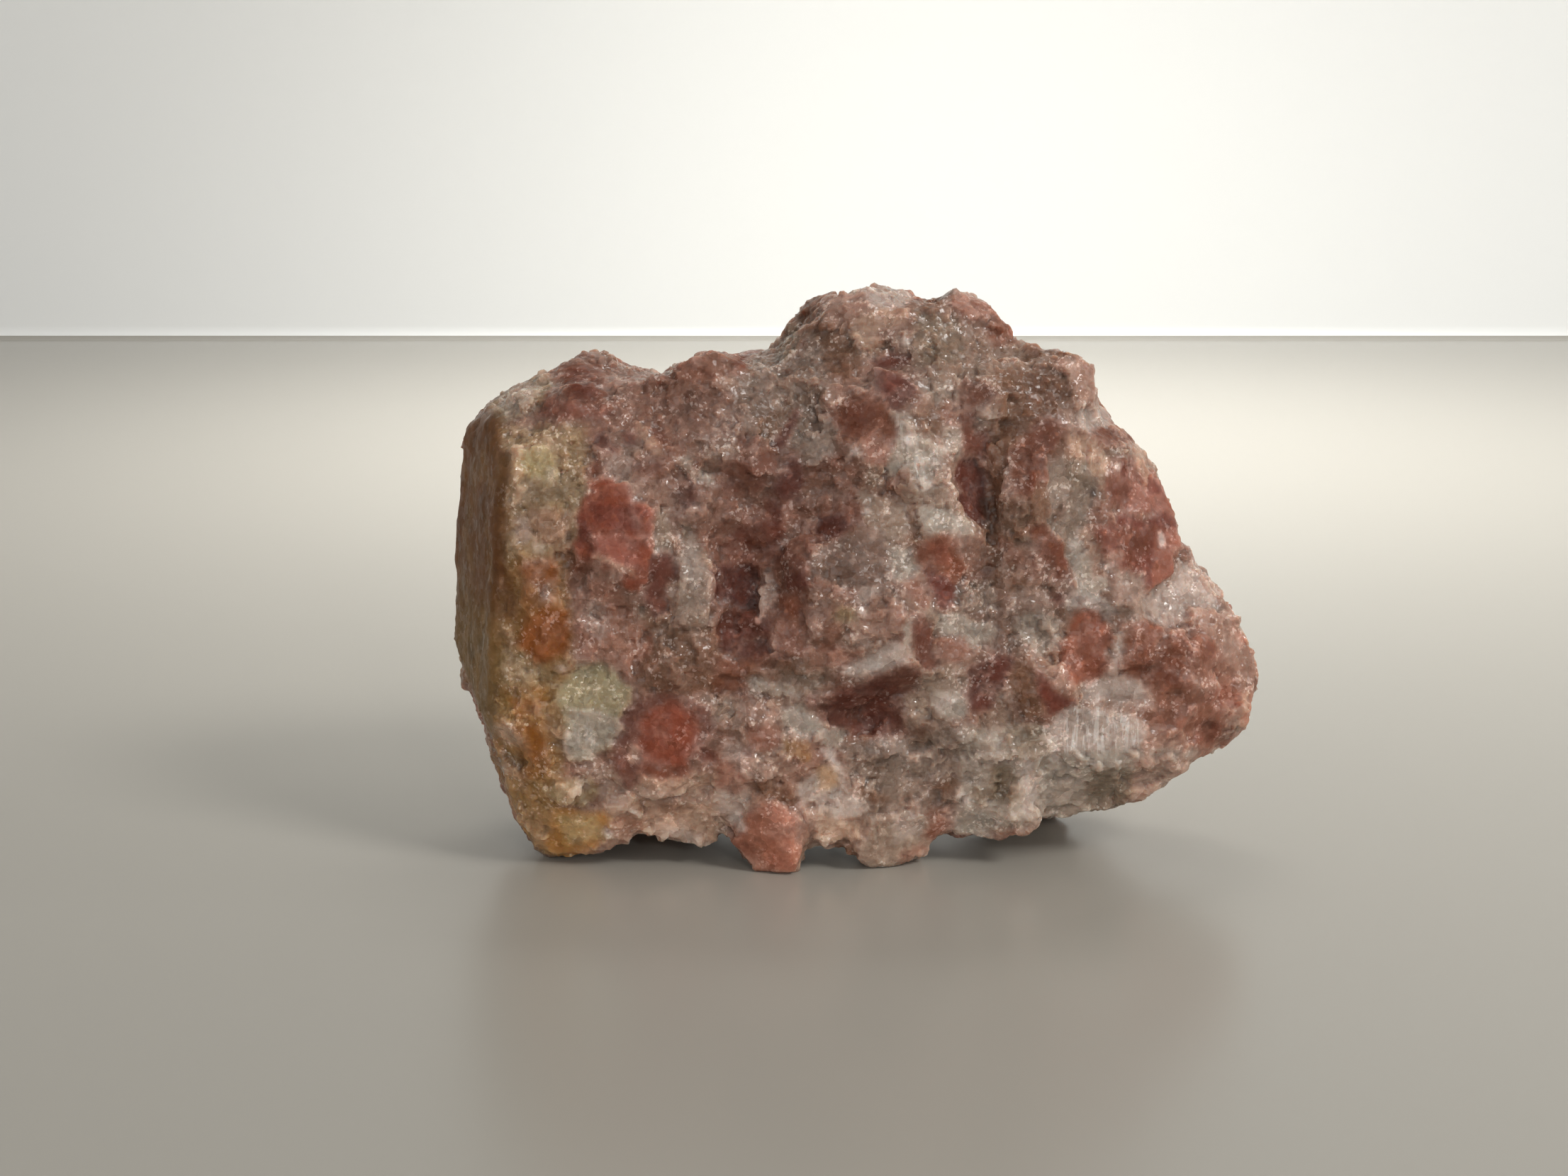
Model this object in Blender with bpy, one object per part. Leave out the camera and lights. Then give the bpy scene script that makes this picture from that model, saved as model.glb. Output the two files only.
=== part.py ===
# A rough sunstone: one broken lump of coarse feldspar, 57 mm long, that stands on five low feet.
# X runs along the stone, Y from its broken front to its back and Z up.

import math

import bmesh
import bpy
import numpy as np
from mathutils import noise

MM = 0.001

# Driving dimensions, in millimetres
GRID_STEP = 0.42  # spacing of the points that the rough surface is worked out on
TRIANGLES = 9000
FRONT_DEPTH = 8.5  # from the rim to the middle of the broken front
BACK_DEPTH = 13.0
BODY_SQUARENESS = 3.4  # 2 is a round pebble, more is a block with rounded edges
TABLE_Z = 0.0
HUB = (0.0, 19.0)  # X and Z that the outline is measured round

# The rim as seen from the front, X and Z, clockwise from the left foot
OUTLINE = [
    (-20.8, 2.2), (-24.2, 2.6), (-26.4, 6.5), (-27.6, 11.0), (-28.8, 18.0), (-28.4, 25.0),
    (-27.2, 29.0), (-25.2, 31.2), (-22.3, 33.0), (-20.4, 33.2), (-18.6, 34.2), (-17.2, 33.7),
    (-16.0, 32.8), (-13.9, 33.2), (-12.3, 33.3), (-11.8, 34.4), (-9.7, 34.9), (-6.8, 34.5),
    (-5.2, 34.8), (-3.9, 36.0), (-1.7, 38.1), (0.1, 38.6), (2.0, 38.7), (3.9, 37.5),
    (5.4, 38.0), (7.4, 38.0), (10.9, 35.2), (13.4, 36.8), (15.2, 35.4), (15.9, 31.6),
    (17.8, 30.4), (21.2, 27.2), (21.2, 23.8), (22.0, 21.6), (24.0, 19.0), (26.4, 15.9),
    (27.2, 14.4), (27.0, 12.2), (27.7, 10.2), (26.4, 8.8), (24.3, 7.3), (20.5, 4.6),
    (16.5, 3.1), (12.0, 2.8), (9.4, 2.4), (6.4, 2.8), (2.3, 1.5), (-0.4, 2.5),
    (-3.2, 2.3), (-5.6, 1.5), (-9.0, 1.6), (-12.0, 2.4), (-16.5, 2.0),
]

# Large fractures that took a whole side off: a point on each, and the way that it faces
FRACTURES = {
    "left end": ((-25.2, -6.0, 18.0), (-0.93, -0.36, 0.075)),
    "left end top": ((-24.6, -4.0, 31.0), (-0.62, -0.12, 0.77)),
    "left end foot": ((-24.4, -4.0, 5.0), (-0.93, -0.25, -0.27)),
    "right underside": ((22.0, 0.0, 5.3), (0.48, -0.10, -0.87)),
    "back": ((0.0, 12.2, 20.0), (0.10, 0.985, 0.14)),
    "back left": ((-18.0, 10.6, 22.0), (-0.42, 0.89, 0.16)),
    "back right": ((17.0, 8.2, 20.0), (0.52, 0.84, 0.10)),
    "back top": ((4.0, 8.5, 33.5), (0.05, 0.70, 0.71)),
    "right back top": ((17.0, 3.0, 28.0), (0.66, 0.38, 0.65)),
    "back bottom": ((2.0, 10.0, 4.0), (0.02, 0.80, -0.60)),
}

# Relief of the broken front: X, Z, half width, half height, turn in degrees, height towards the front
FRONT_RELIEF = {
    "ochre edge": (-21.5, 18.0, 3.4, 15.0, 0, 0.7),
    "brown lump at the top left": (-18.4, 33.4, 2.4, 2.4, 0, 1.3),
    "upper left shelf": (-10.0, 33.0, 3.4, 2.4, 0, 0.9),
    "red block": (-16.3, 23.4, 2.7, 2.6, 0, 1.1),
    "hollow beside the red block": (-12.9, 20.2, 1.3, 2.6, 0, -1.5),
    "grey rib": (-11.6, 19.0, 1.2, 5.0, 4, 0.9),
    "dark hollow": (-7.2, 21.5, 2.4, 6.5, -10, -2.5),
    "hollow above it": (-5.0, 29.0, 3.0, 3.0, 0, -1.3),
    "middle boss": (0.2, 19.0, 4.6, 5.0, 0, 2.2),
    "undercut below the boss": (0.8, 11.2, 3.6, 1.8, 8, -3.0),
    "ledge above the undercut": (0.8, 14.3, 3.6, 0.9, 10, 0.9),
    "deep gash": (7.8, 27.6, 1.3, 4.4, 6, -2.8),
    "gash foot": (8.6, 21.0, 1.3, 3.6, 0, -1.3),
    "long rib": (5.6, 21.5, 1.8, 5.5, 8, 0.8),
    "right shoulder": (11.8, 29.5, 2.6, 6.0, 0, 1.5),
    "top knob": (1.6, 36.6, 4.4, 2.6, 0, 0.9),
    "red patch under the knob": (1.2, 31.8, 2.8, 3.0, 0, 0.6),
    "bright cleavage": (4.2, 28.4, 2.0, 2.6, 0, 0.5),
    "grey pit": (13.6, 24.4, 1.3, 1.5, 0, -1.1),
    "red lump on the right": (18.2, 22.2, 3.2, 2.8, 0, 1.3),
    "dark socket": (9.3, 13.0, 1.7, 2.0, 0, -2.2),
    "brown wedge": (11.9, 12.6, 1.6, 2.7, -28, 1.5),
    "pale shelf": (16.2, 9.3, 4.2, 1.7, 0, 1.5),
    "right arm": (22.5, 14.5, 4.4, 3.4, 0, 1.0),
    "bottom hollow": (3.2, 7.0, 4.0, 2.2, 0, -1.2),
    "white lump": (6.2, 11.3, 1.2, 1.1, 0, 1.2),
    "bluish lump": (-4.2, 10.0, 1.5, 1.3, 0, 0.9),
    "pink swell": (-2.6, 5.5, 2.2, 3.6, 10, 1.1),
    "green white crystal": (-18.4, 11.0, 2.3, 3.2, 0, 0.7),
    "low red crystal": (-12.8, 9.0, 2.9, 2.7, 0, 0.9),
    "hollow over the low red crystal": (-13.0, 15.5, 2.6, 1.4, 0, -0.9),
    "ochre foot": (-19.8, 2.6, 2.8, 2.2, 0, 1.0),
    "red toe": (-6.4, 2.2, 2.0, 2.4, -20, 1.9),
    "groove left of the toe": (-11.8, 4.2, 3.0, 0.9, 0, -0.8),
    "bottom right swell": (9.0, 4.2, 2.6, 2.4, 0, 0.9),
}

# Where it touches the table: X, Y and radius of each foot
FEET = {
    "ochre foot": (-20.6, -4.0, 4.0),
    "red toe": (-5.6, -7.6, 3.6),
    "grey foot": (2.4, -4.8, 4.6),
    "back right foot": (13.5, 5.4, 7.0),
    "back left foot": (-15.5, 5.2, 7.5),
}
FOOT_WASTE = 0.5  # how far below the table the feet reach before they are ground level
CLEARANCE = 0.9  # between the table and the rest of the underside

# Single crystals of the front whose flat faces can be told apart:
# X, Z, half width, half height, turn, lean to the right, lean upwards (degrees), height
FRONT_CRYSTALS = {
    "cream block": (-21.2, 27.6, 1.6, 1.6, 0, -12, 7, 0.1),
    "pale top left corner": (-22.6, 32.0, 2.0, 1.7, 20, -18, 27, 0.02),
    "orange bump": (-18.5, 33.2, 2.1, 1.8, 0, 3, 21, 0.07),
    "grey saddle": (-14.2, 32.6, 2.2, 1.6, 0, 6, 19, 0.0),
    "top shelf": (-9.6, 33.6, 2.7, 1.6, 0, -3, 18, 0.08),
    "olive face": (-21.4, 23.4, 2.4, 2.6, 0, -13, 4, 0.04),
    "lavender plate": (-16.2, 27.8, 1.5, 1.4, 0, 12, -8, 0.17),
    "red block": (-16.2, 24.0, 2.3, 2.4, 0, 7, 4, 0.3),
    "foot of the red block": (-15.5, 20.2, 1.7, 1.6, 0, -7, -14, 0.06),
    "white slab": (-13.1, 24.0, 0.9, 2.4, 6, 23, 0, 0.08),
    "orange face": (-21.8, 16.6, 2.4, 2.6, 0, -14, 0, 0.04),
    "lilac face": (-17.4, 16.4, 2.2, 2.2, 0, 9, 11, 0.03),
    "top of the green crystal": (-18.2, 12.6, 2.3, 1.7, 0, -6, 22, 0.14),
    "front of the green crystal": (-18.2, 9.0, 2.2, 2.2, 0, -9, -5, 0.19),
    "low red crystal": (-12.9, 9.1, 3.0, 2.7, 10, 4, 7, 0.28),
    "salmon face": (-11.5, 13.2, 3.0, 1.9, 0, 4, -14, 0.02),
    "pink foot slope": (-11.5, 4.0, 3.2, 1.9, 0, 4, -21, 0.02),
    "ochre foot face": (-19.8, 3.0, 2.6, 2.3, 0, -8, -11, 0.04),
    "red toe face": (-6.2, 1.9, 2.0, 2.3, 0, 4, -8, 0.09),
    "grey rib face": (-11.3, 18.0, 1.1, 3.6, 4, -13, 0, 0.07),
    "lilac sliver": (-6.1, 18.4, 0.7, 1.7, -8, -14, 0, 0.5),
    "boss top": (0.6, 20.8, 3.4, 2.6, 0, 4, 19, 0.02),
    "boss front": (-0.8, 16.6, 3.6, 2.1, 8, -7, -11, 0.04),
    "white ledge": (1.2, 14.1, 3.0, 0.7, 14, 4, -27, 0.4),
    "maroon face": (-3.6, 26.4, 2.6, 2.6, 0, 12, -12, 0.02),
    "rust face": (1.0, 31.5, 2.7, 2.6, 0, -3, 7, 0.08),
    "bright cleavage": (4.4, 28.2, 2.1, 2.4, 10, 13, 14, 0.14),
    "shoulder face": (12.4, 31.8, 2.8, 2.8, 0, 9, 16, 0.04),
    "pale green crystal": (14.6, 26.9, 2.1, 2.6, 0, 20, 5, 0.09),
    "rust column": (12.0, 22.0, 1.8, 2.9, 0, 6, -5, 0.04),
    "top knob": (1.4, 36.8, 3.0, 2.2, 0, 1, 19, 0.06),
    "salmon crown": (-2.4, 37.0, 1.7, 1.7, 0, -14, 16, 0.04),
    "rust peak": (8.2, 37.2, 2.4, 1.9, -20, 10, 16, 0.09),
    "red lump": (19.0, 22.2, 2.8, 2.5, 0, 25, 16, 0.19),
    "white band": (22.4, 18.6, 2.3, 2.3, 0, 25, 23, 0.02),
    "brown red face": (21.2, 14.3, 2.8, 2.5, 0, 7, 5, 0.04),
    "rust mottled face": (15.9, 15.6, 2.0, 2.6, 0, -7, 8, 0.06),
    "striated cleavage": (16.5, 9.4, 3.7, 1.6, 0, 4, 12, 0.22),
    "brown wedge": (12.9, 12.3, 3.0, 1.2, -26, -13, -14, 0.7),
    "arm tip": (25.9, 13.4, 1.9, 2.6, 0, 32, 4, 0.02),
    "slope under the arm": (17.0, 5.4, 4.4, 2.2, 10, 7, -39, 0.04),
    "grey olive face": (3.2, 6.8, 3.6, 2.4, 0, 4, -8, 0.02),
    "olive lump": (9.2, 4.8, 2.7, 3.0, 0, -4, -13, 0.08),
    "pink pile": (-2.2, 5.6, 2.2, 3.3, 0, -12, -8, 0.07),
    "bluish lump": (-4.0, 10.1, 1.8, 1.5, 0, -7, 14, 0.07),
}
CRYSTAL_SQUARENESS = 4.0  # 2 is an ellipse, more is a block

# The other grains of feldspar, each broken along its own cleavage
GRAIN_SPACING = 3.6
GRAIN_TILT = (3.0, 15.0)  # degrees between a grain's cleavage and the surface
GRAIN_RISE = 0.16
LEDGE_SHARE = 0.3  # of the grains, the share that broke in two steps
LEDGE_HEIGHT = (0.4, 0.8)
MOST_MOVE = 1.1
GRAIN_SEED = 20
# The left end is an old weathered joint, where the grains hardly stand out
SMOOTH_FRACTURES = ("left end", "left end top", "left end foot")
SMOOTH_SHARE = 0.22

VOXEL = 0.28  # size of the cells that close the broken surface into one solid


def unit(vectors):
    return vectors / np.linalg.norm(vectors, axis=-1, keepdims=True)


def outline_radius(angles):
    """Distance from HUB to the outline along each angle."""
    corners = np.array(OUTLINE) - np.array(HUB)
    following = np.roll(corners, -1, axis=0)
    edge = following - corners
    best = np.zeros(len(angles))
    direction = np.stack([np.cos(angles), np.sin(angles)], axis=1)
    for start, along in zip(corners, edge):
        across = direction[:, 0] * along[1] - direction[:, 1] * along[0]
        across = np.where(np.abs(across) < 1e-9, 1e-9, across)
        reach = (start[0] * along[1] - start[1] * along[0]) / across
        share = (start[0] * direction[:, 1] - start[1] * direction[:, 0]) / across
        hit = (share >= 0) & (share <= 1) & (reach > 0)
        best = np.where(hit, np.maximum(best, reach), best)
    return best


def body_profile(rows):
    """(share of the radius, share of the depth) from the front middle over the rim to the back middle."""
    turn = np.linspace(-math.pi / 2, math.pi / 2, 2000)
    power = 2 / BODY_SQUARENESS
    out = np.abs(np.cos(turn)) ** power
    deep = np.sign(turn) * np.abs(np.sin(turn)) ** power
    lengths = np.hypot(np.diff(out) * abs(HUB[1]), np.diff(deep) * BACK_DEPTH)
    travelled = np.concatenate([[0], np.cumsum(lengths)])
    even = np.linspace(0, travelled[-1], rows)
    return np.interp(even, travelled, out), np.interp(even, travelled, deep)


def body_grid():
    """The blank before it is broken: points in rows from the front middle to the back middle."""
    columns = int(150 / GRID_STEP)
    rows = int(62 / GRID_STEP)
    angles = np.linspace(0, 2 * math.pi, columns, endpoint=False)
    radius = outline_radius(angles)
    out, deep = body_profile(rows)
    rim = 0.06 * (radius * np.sin(angles)) - 1.0  # the rim leans back towards the top
    inner = slice(1, rows - 1)
    x = HUB[0] + np.outer(out[inner], radius * np.cos(angles))
    z = HUB[1] + np.outer(out[inner], radius * np.sin(angles))
    depth = np.where(deep < 0, FRONT_DEPTH, BACK_DEPTH)[inner, None] * deep[inner, None]
    thinning = 1 - 0.30 * np.clip(x / 28, 0, 1) ** 2  # the stone is thinner towards its right tip
    y = rim[None, :] * out[inner, None] + depth * thinning
    ring = np.stack([x, y, z], axis=-1).reshape(-1, 3)
    poles = [[HUB[0], -FRONT_DEPTH, HUB[1]], [HUB[0], BACK_DEPTH, HUB[1]]]
    return np.vstack([poles, ring]), rows - 2, columns


def grid_faces(rows, columns):
    faces = []
    for row in range(rows):
        for column in range(columns):
            a = 2 + row * columns + column
            b = 2 + row * columns + (column + 1) % columns
            if row == 0:
                faces.append((0, a, b))
            if row == rows - 1:
                faces.append((1, b, a))
            else:
                faces.append((a, a + columns, b + columns, b))
    return faces


def swell(points, scale, seed):
    """Smooth noise from -1 to 1 at each point. scale is its wavelength in mm."""
    shift = 37.0 * seed
    return np.array([noise.noise((p[0] / scale + shift, p[1] / scale, p[2] / scale)) for p in points])


def smooth_bump(distance):
    """1 in the middle, 0 from distance 1 on."""
    return np.clip(1 - distance**2, 0, 1) ** 2


def normals_of(mesh, points):
    mesh.vertices.foreach_set("co", points.astype(np.float32).ravel())
    mesh.update()
    found = np.empty(len(points) * 3, np.float32)
    mesh.vertex_normals.foreach_get("vector", found)
    return found.reshape(-1, 3).astype(float)


def cut_by_fractures(points):
    for place, facing in FRACTURES.values():
        facing = unit(np.array(facing))
        beyond = (points - np.array(place)) @ facing
        points = points - np.outer(np.clip(beyond, 0, None), facing)
    return points


def raise_front(points, normals):
    """Lumps, hollows, ribs and ledges of the broken front."""
    towards_front = np.clip(-normals[:, 1] * 1.6, 0, 1)
    height = np.zeros(len(points))
    for x, z, half_width, half_height, turn, rise in FRONT_RELIEF.values():
        angle = math.radians(turn)
        across, up = points[:, 0] - x, points[:, 2] - z
        along = across * math.cos(angle) + up * math.sin(angle)
        upright = up * math.cos(angle) - across * math.sin(angle)
        height += rise * smooth_bump(np.hypot(along / (1.35 * half_width), upright / (1.35 * half_height)))
    moved = points.copy()
    moved[:, 1] -= height * towards_front
    return moved


def weathered(points):
    """1 on the smooth left end, 0 elsewhere."""
    amount = np.zeros(len(points))
    for name in SMOOTH_FRACTURES:
        place, facing = FRACTURES[name]
        beyond = (points - np.array(place)) @ unit(np.array(facing))
        amount = np.maximum(amount, np.clip(1 + beyond / 0.8, 0, 1))
    return amount


def choose_grains(points, spacing, random):
    """Points of the surface that lie at least spacing apart, one for each grain."""
    chosen = np.empty((0, 3))
    for point in points[random.permutation(len(points))]:
        if len(chosen) == 0 or np.min(np.linalg.norm(chosen - point, axis=1)) > spacing:
            chosen = np.vstack([chosen, point])
    return chosen


def front_crystal_reach(points, normals, crystal, ragged):
    """1 on the edge of a named crystal of the front, less inside it."""
    x, z, half_width, half_height, turn = crystal[:5]
    angle = math.radians(turn)
    across = points[:, 0] - x + 0.4 * ragged[:, 0]
    upright = points[:, 2] - z + 0.4 * ragged[:, 2]
    u = (across * math.cos(angle) + upright * math.sin(angle)) / half_width
    v = (upright * math.cos(angle) - across * math.sin(angle)) / half_height
    reach = (np.abs(u) ** CRYSTAL_SQUARENESS + np.abs(v) ** CRYSTAL_SQUARENESS) ** (1 / CRYSTAL_SQUARENESS)
    return np.where(normals[:, 1] < -0.2, reach, np.inf)


def break_grains(points, normals):
    """How far each point moves along its normal, so that every grain shows the flat face that it broke on."""
    random = np.random.default_rng(GRAIN_SEED)
    ragged = np.stack([swell(points, 2.2, seed) for seed in (11, 12, 13)], axis=1)
    crystals = list(FRONT_CRYSTALS.values())
    reach = np.stack([front_crystal_reach(points, normals, crystal, ragged) for crystal in crystals])
    grain = reach.argmin(axis=0)
    closest = 0.85 * reach.min(axis=0)
    sample = points[(closest > 0.9)]
    sample = sample[random.permutation(len(sample))[:5000]]
    middle = choose_grains(sample, GRAIN_SPACING, random)
    size = GRAIN_SPACING * 0.55 * random.uniform(0.8, 1.3, len(middle))
    for index, centre in enumerate(middle):
        distance = np.linalg.norm(points + 0.55 * ragged - centre, axis=1) / size[index]
        near = distance < closest
        grain[near] = len(crystals) + index
        closest[near] = distance[near]
    count = len(crystals) + len(middle)
    facing = np.zeros((count, 3))
    through = np.zeros((count, 3))
    np.add.at(facing, grain, normals)
    np.add.at(through, grain, points)
    through = through / np.maximum(np.bincount(grain, minlength=count), 1)[:, None]
    facing = unit(facing + 1e-9)
    sideways = unit(np.cross(facing, unit(random.normal(size=facing.shape))))
    tilt = np.radians(random.uniform(*GRAIN_TILT, count))[:, None]
    cleavage = unit(facing * np.cos(tilt) + sideways * np.sin(tilt))
    rise = random.uniform(-GRAIN_RISE, GRAIN_RISE, count)
    ledge = np.where(random.random(count) < LEDGE_SHARE, random.uniform(*LEDGE_HEIGHT, count), 0.0)
    for index, (right, up, height) in enumerate(crystal[5:] for crystal in crystals):
        cleavage[index] = unit(np.array([math.tan(math.radians(right)), -1, math.tan(math.radians(up))]))
        rise[index] = height
        ledge[index] = 0
    level = np.einsum("ij,ij->i", points - through[grain], cleavage[grain])
    lean = np.clip(np.einsum("ij,ij->i", normals, cleavage[grain]), 0.5, 1)
    beyond = np.einsum("ij,ij->i", points - through[grain], sideways[grain]) + 0.3 * ragged[:, 0]
    move = rise[grain] - level / lean + ledge[grain] * (0.5 - (beyond > 0.2))
    move = np.clip(move, -MOST_MOVE, MOST_MOVE)
    return move * (1 - (1 - SMOOTH_SHARE) * weathered(points))


def soften(move, rows, columns):
    """Takes the razor edge off the steps by sharing each move with its neighbours."""
    ring = move[2:].reshape(rows, columns)
    around = np.roll(ring, 1, axis=1) + np.roll(ring, -1, axis=1)
    above, below = ring.copy(), ring.copy()
    above[1:] = ring[:-1]
    below[:-1] = ring[1:]
    shared = 0.64 * ring + 0.09 * (around + above + below)
    return np.concatenate([move[:2], shared.ravel()])


def draw_down_feet(points):
    """Keeps the underside clear of the table, but for the feet, which reach just below it."""
    clearance = TABLE_Z + CLEARANCE + 0.5 * swell(points, 3.5, 5)
    raised = np.maximum(points[:, 2], clearance)
    under = np.clip((8 - raised) / 4, 0, 1)
    foot = np.zeros(len(points))
    for x, y, radius in FEET.values():
        reach = np.hypot(points[:, 0] - x, points[:, 1] - y) / radius
        foot = np.maximum(foot, smooth_bump(reach))
    low = raised - (raised - TABLE_Z + FOOT_WASTE) * foot * under
    lowered = points.copy()
    lowered[:, 2] = low
    return lowered


def cut_at_table(mesh):
    """Grinds the feet to one level, so that the stone stands."""
    work = bmesh.new()
    work.from_mesh(mesh)
    everything = work.verts[:] + work.edges[:] + work.faces[:]
    level = (0, 0, TABLE_Z * MM)
    cut = bmesh.ops.bisect_plane(work, geom=everything, plane_co=level, plane_no=(0, 0, -1), clear_outer=True)
    rim = [part for part in cut["geom_cut"] if isinstance(part, bmesh.types.BMEdge)]
    bmesh.ops.holes_fill(work, edges=rim)
    bmesh.ops.triangulate(work, faces=[face for face in work.faces if len(face.verts) > 4])
    work.to_mesh(mesh)
    work.free()


def feldspar():
    material = bpy.data.materials.new("feldspar")
    material.use_nodes = True
    shader = material.node_tree.nodes["Principled BSDF"]
    shader.inputs["Base Color"].default_value = (0.36, 0.20, 0.16, 1)
    shader.inputs["Roughness"].default_value = 0.45
    shader.inputs["Metallic"].default_value = 0.0
    return material


def applied(stone, kind, **settings):
    """The stone's mesh after one of Blender's modifiers."""
    modifier = stone.modifiers.new(kind.lower(), kind)
    for setting, value in settings.items():
        setattr(modifier, setting, value)
    graph = bpy.context.evaluated_depsgraph_get()
    stone.data = bpy.data.meshes.new_from_object(stone.evaluated_get(graph))
    stone.modifiers.clear()
    return stone.data


def centred(mesh):
    """Puts the middle of the underside on the origin."""
    points = np.empty(len(mesh.vertices) * 3, np.float32)
    mesh.vertices.foreach_get("co", points)
    points = points.reshape(-1, 3)
    middle = (points.min(axis=0) + points.max(axis=0)) / 2
    middle[2] = points[:, 2].min()
    mesh.vertices.foreach_set("co", (points - middle).ravel())
    mesh.update()


def build_sunstone():
    points, rows, columns = body_grid()
    mesh = bpy.data.meshes.new("blank")
    mesh.from_pydata(points.tolist(), [], grid_faces(rows, columns))
    normals = normals_of(mesh, points)
    points = points + normals * (0.8 * swell(points, 11.0, 1) + 0.4 * swell(points, 5.0, 2))[:, None]
    points = cut_by_fractures(points)
    points = raise_front(points, normals_of(mesh, points))
    normals = normals_of(mesh, points)
    move = break_grains(points, normals)
    move = soften(move, rows, columns)
    points = draw_down_feet(points + normals * move[:, None])
    mesh.vertices.foreach_set("co", (points * MM).astype(np.float32).ravel())
    mesh.update()
    stone = bpy.data.objects.new("sunstone", mesh)
    bpy.context.scene.collection.objects.link(stone)
    mesh = applied(stone, "REMESH", mode="VOXEL", voxel_size=VOXEL * MM, adaptivity=0.0)
    share = TRIANGLES / (2 * len(mesh.vertices))
    mesh = applied(stone, "DECIMATE", ratio=share, use_collapse_triangulate=True)
    cut_at_table(mesh)
    centred(mesh)
    mesh.name = "sunstone"
    mesh.materials.clear()
    mesh.materials.append(feldspar())
    return stone


for leftover in list(bpy.data.objects):
    bpy.data.objects.remove(leftover)
build_sunstone()
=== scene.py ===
import math

import bmesh
import bpy
import numpy as np
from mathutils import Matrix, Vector, kdtree, noise


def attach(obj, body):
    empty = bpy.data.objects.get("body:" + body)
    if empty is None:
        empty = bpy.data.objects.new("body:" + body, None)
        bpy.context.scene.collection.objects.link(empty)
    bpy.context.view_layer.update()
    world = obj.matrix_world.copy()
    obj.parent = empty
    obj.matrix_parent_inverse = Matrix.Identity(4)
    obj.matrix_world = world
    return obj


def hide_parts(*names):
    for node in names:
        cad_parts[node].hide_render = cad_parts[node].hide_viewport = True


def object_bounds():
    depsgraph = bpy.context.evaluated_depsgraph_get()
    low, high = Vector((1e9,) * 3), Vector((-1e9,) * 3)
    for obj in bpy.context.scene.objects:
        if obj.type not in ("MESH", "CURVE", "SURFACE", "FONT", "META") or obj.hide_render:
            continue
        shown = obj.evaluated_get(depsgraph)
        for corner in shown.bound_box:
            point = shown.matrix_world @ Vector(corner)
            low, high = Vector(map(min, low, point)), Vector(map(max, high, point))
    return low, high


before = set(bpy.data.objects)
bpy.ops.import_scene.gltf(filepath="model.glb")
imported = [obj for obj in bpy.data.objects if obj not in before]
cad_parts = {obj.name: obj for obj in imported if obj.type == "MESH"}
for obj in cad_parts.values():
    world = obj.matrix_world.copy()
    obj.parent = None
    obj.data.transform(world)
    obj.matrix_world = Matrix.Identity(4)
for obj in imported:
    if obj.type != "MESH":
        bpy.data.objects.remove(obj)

# A rough sunstone on a pale table. Its surface is broken into grains, coloured by drawn patches.
# Lengths in the stone's own lists are millimetres.
mm = 0.001
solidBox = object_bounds()
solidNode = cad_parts["sunstone"]

# the shape of the broken surface
stone = {
    "pointSpacing": 0.245,
    "kept": 0.69,  # share of the faces left once the back and the underside are made coarser
    "backFrom": 1.5,  # the back starts at this depth
    "undersideTo": 3.0,  # and the underside ends at this height
    "softenSolid": 6,  # rounds of smoothing before the grains are broken in
    "overallForm": 260,  # rounds of smoothing that leave only the overall form
    "pitDepth": 0.15,  # hollows deeper than this are filled by the share below
    "pitFill": 0.85,
    # unbroken is the share of these grains that a single crystal leaves out
    "grains": {
        "coarse": {"size": 3.0, "flatness": 0.78, "lean": 0.10, "step": 0.14, "unbroken": 1.0},
        "middling": {"size": 1.5, "flatness": 0.80, "lean": 0.12, "step": 0.07, "unbroken": 0.75},
        "fine": {"size": 0.62, "flatness": 0.85, "lean": 0.15, "step": 0.03, "unbroken": 0.3},
    },
    # patches at least this strong and this crisp are single crystals
    "crystals": {"leastStrength": 0.8, "mostSoftness": 0.3, "flatness": 0.85, "lean": 0.08, "step": 0.12},
    "crystalFacing": 0.25,  # they end where the stone faces the front less than this
    "crystalDepth": 5.0,  # and behind this depth
    "deepestCut": 0.45,  # most that a point moves onto the face of its grain
    "steepestFace": 0.5,  # least that a face counts as facing the way its points move
    "crumbs": {"radius": 0.5, "frontHeight": 0.02, "topHeight": 0.17},
    "endSmoothness": 0.8,  # how much of all this the weathered left end has lost
    "needles": (0.14, 0.26),  # what stands out this far on its own is taken back, a little or wholly
    "boxGap": 0.01,
    "soleHeight": 0.06,  # points lower than this stay on the table
    "seed": 7,
}

# the upright sheet that the patches are drawn on
sheet = {
    "depth": -6.33,
    "aside": -0.066,
    "seenFrom": (-4.93, -160.88, 52.25),
    "wander": 0.14,  # how far the outlines stray
    "grainShare": 0.4,  # how strictly a patch keeps to whole grains
}

# the old flat face at the left end: a point on it, the way it faces and how far its weathering goes in
leftEnd = {"place": (-25.1, -7.3, 18.0), "facing": (-0.93, -0.36, 0.075), "reach": 0.9}


def solidCopy(node):
    mesh = node.data.copy()
    work = bmesh.new()
    work.from_mesh(mesh)
    bmesh.ops.remove_doubles(work, verts=work.verts, dist=1e-6)
    work.to_mesh(mesh)
    work.free()
    piece = bpy.data.objects.new("stone", mesh)
    bpy.context.scene.collection.objects.link(piece)
    return piece


def evenSurface(piece, spacing):
    remesh = piece.modifiers.new("even", "REMESH")
    remesh.mode = "VOXEL"
    remesh.voxel_size = spacing * mm
    graph = bpy.context.evaluated_depsgraph_get()
    piece.data = bpy.data.meshes.new_from_object(piece.evaluated_get(graph))
    piece.modifiers.clear()


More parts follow.
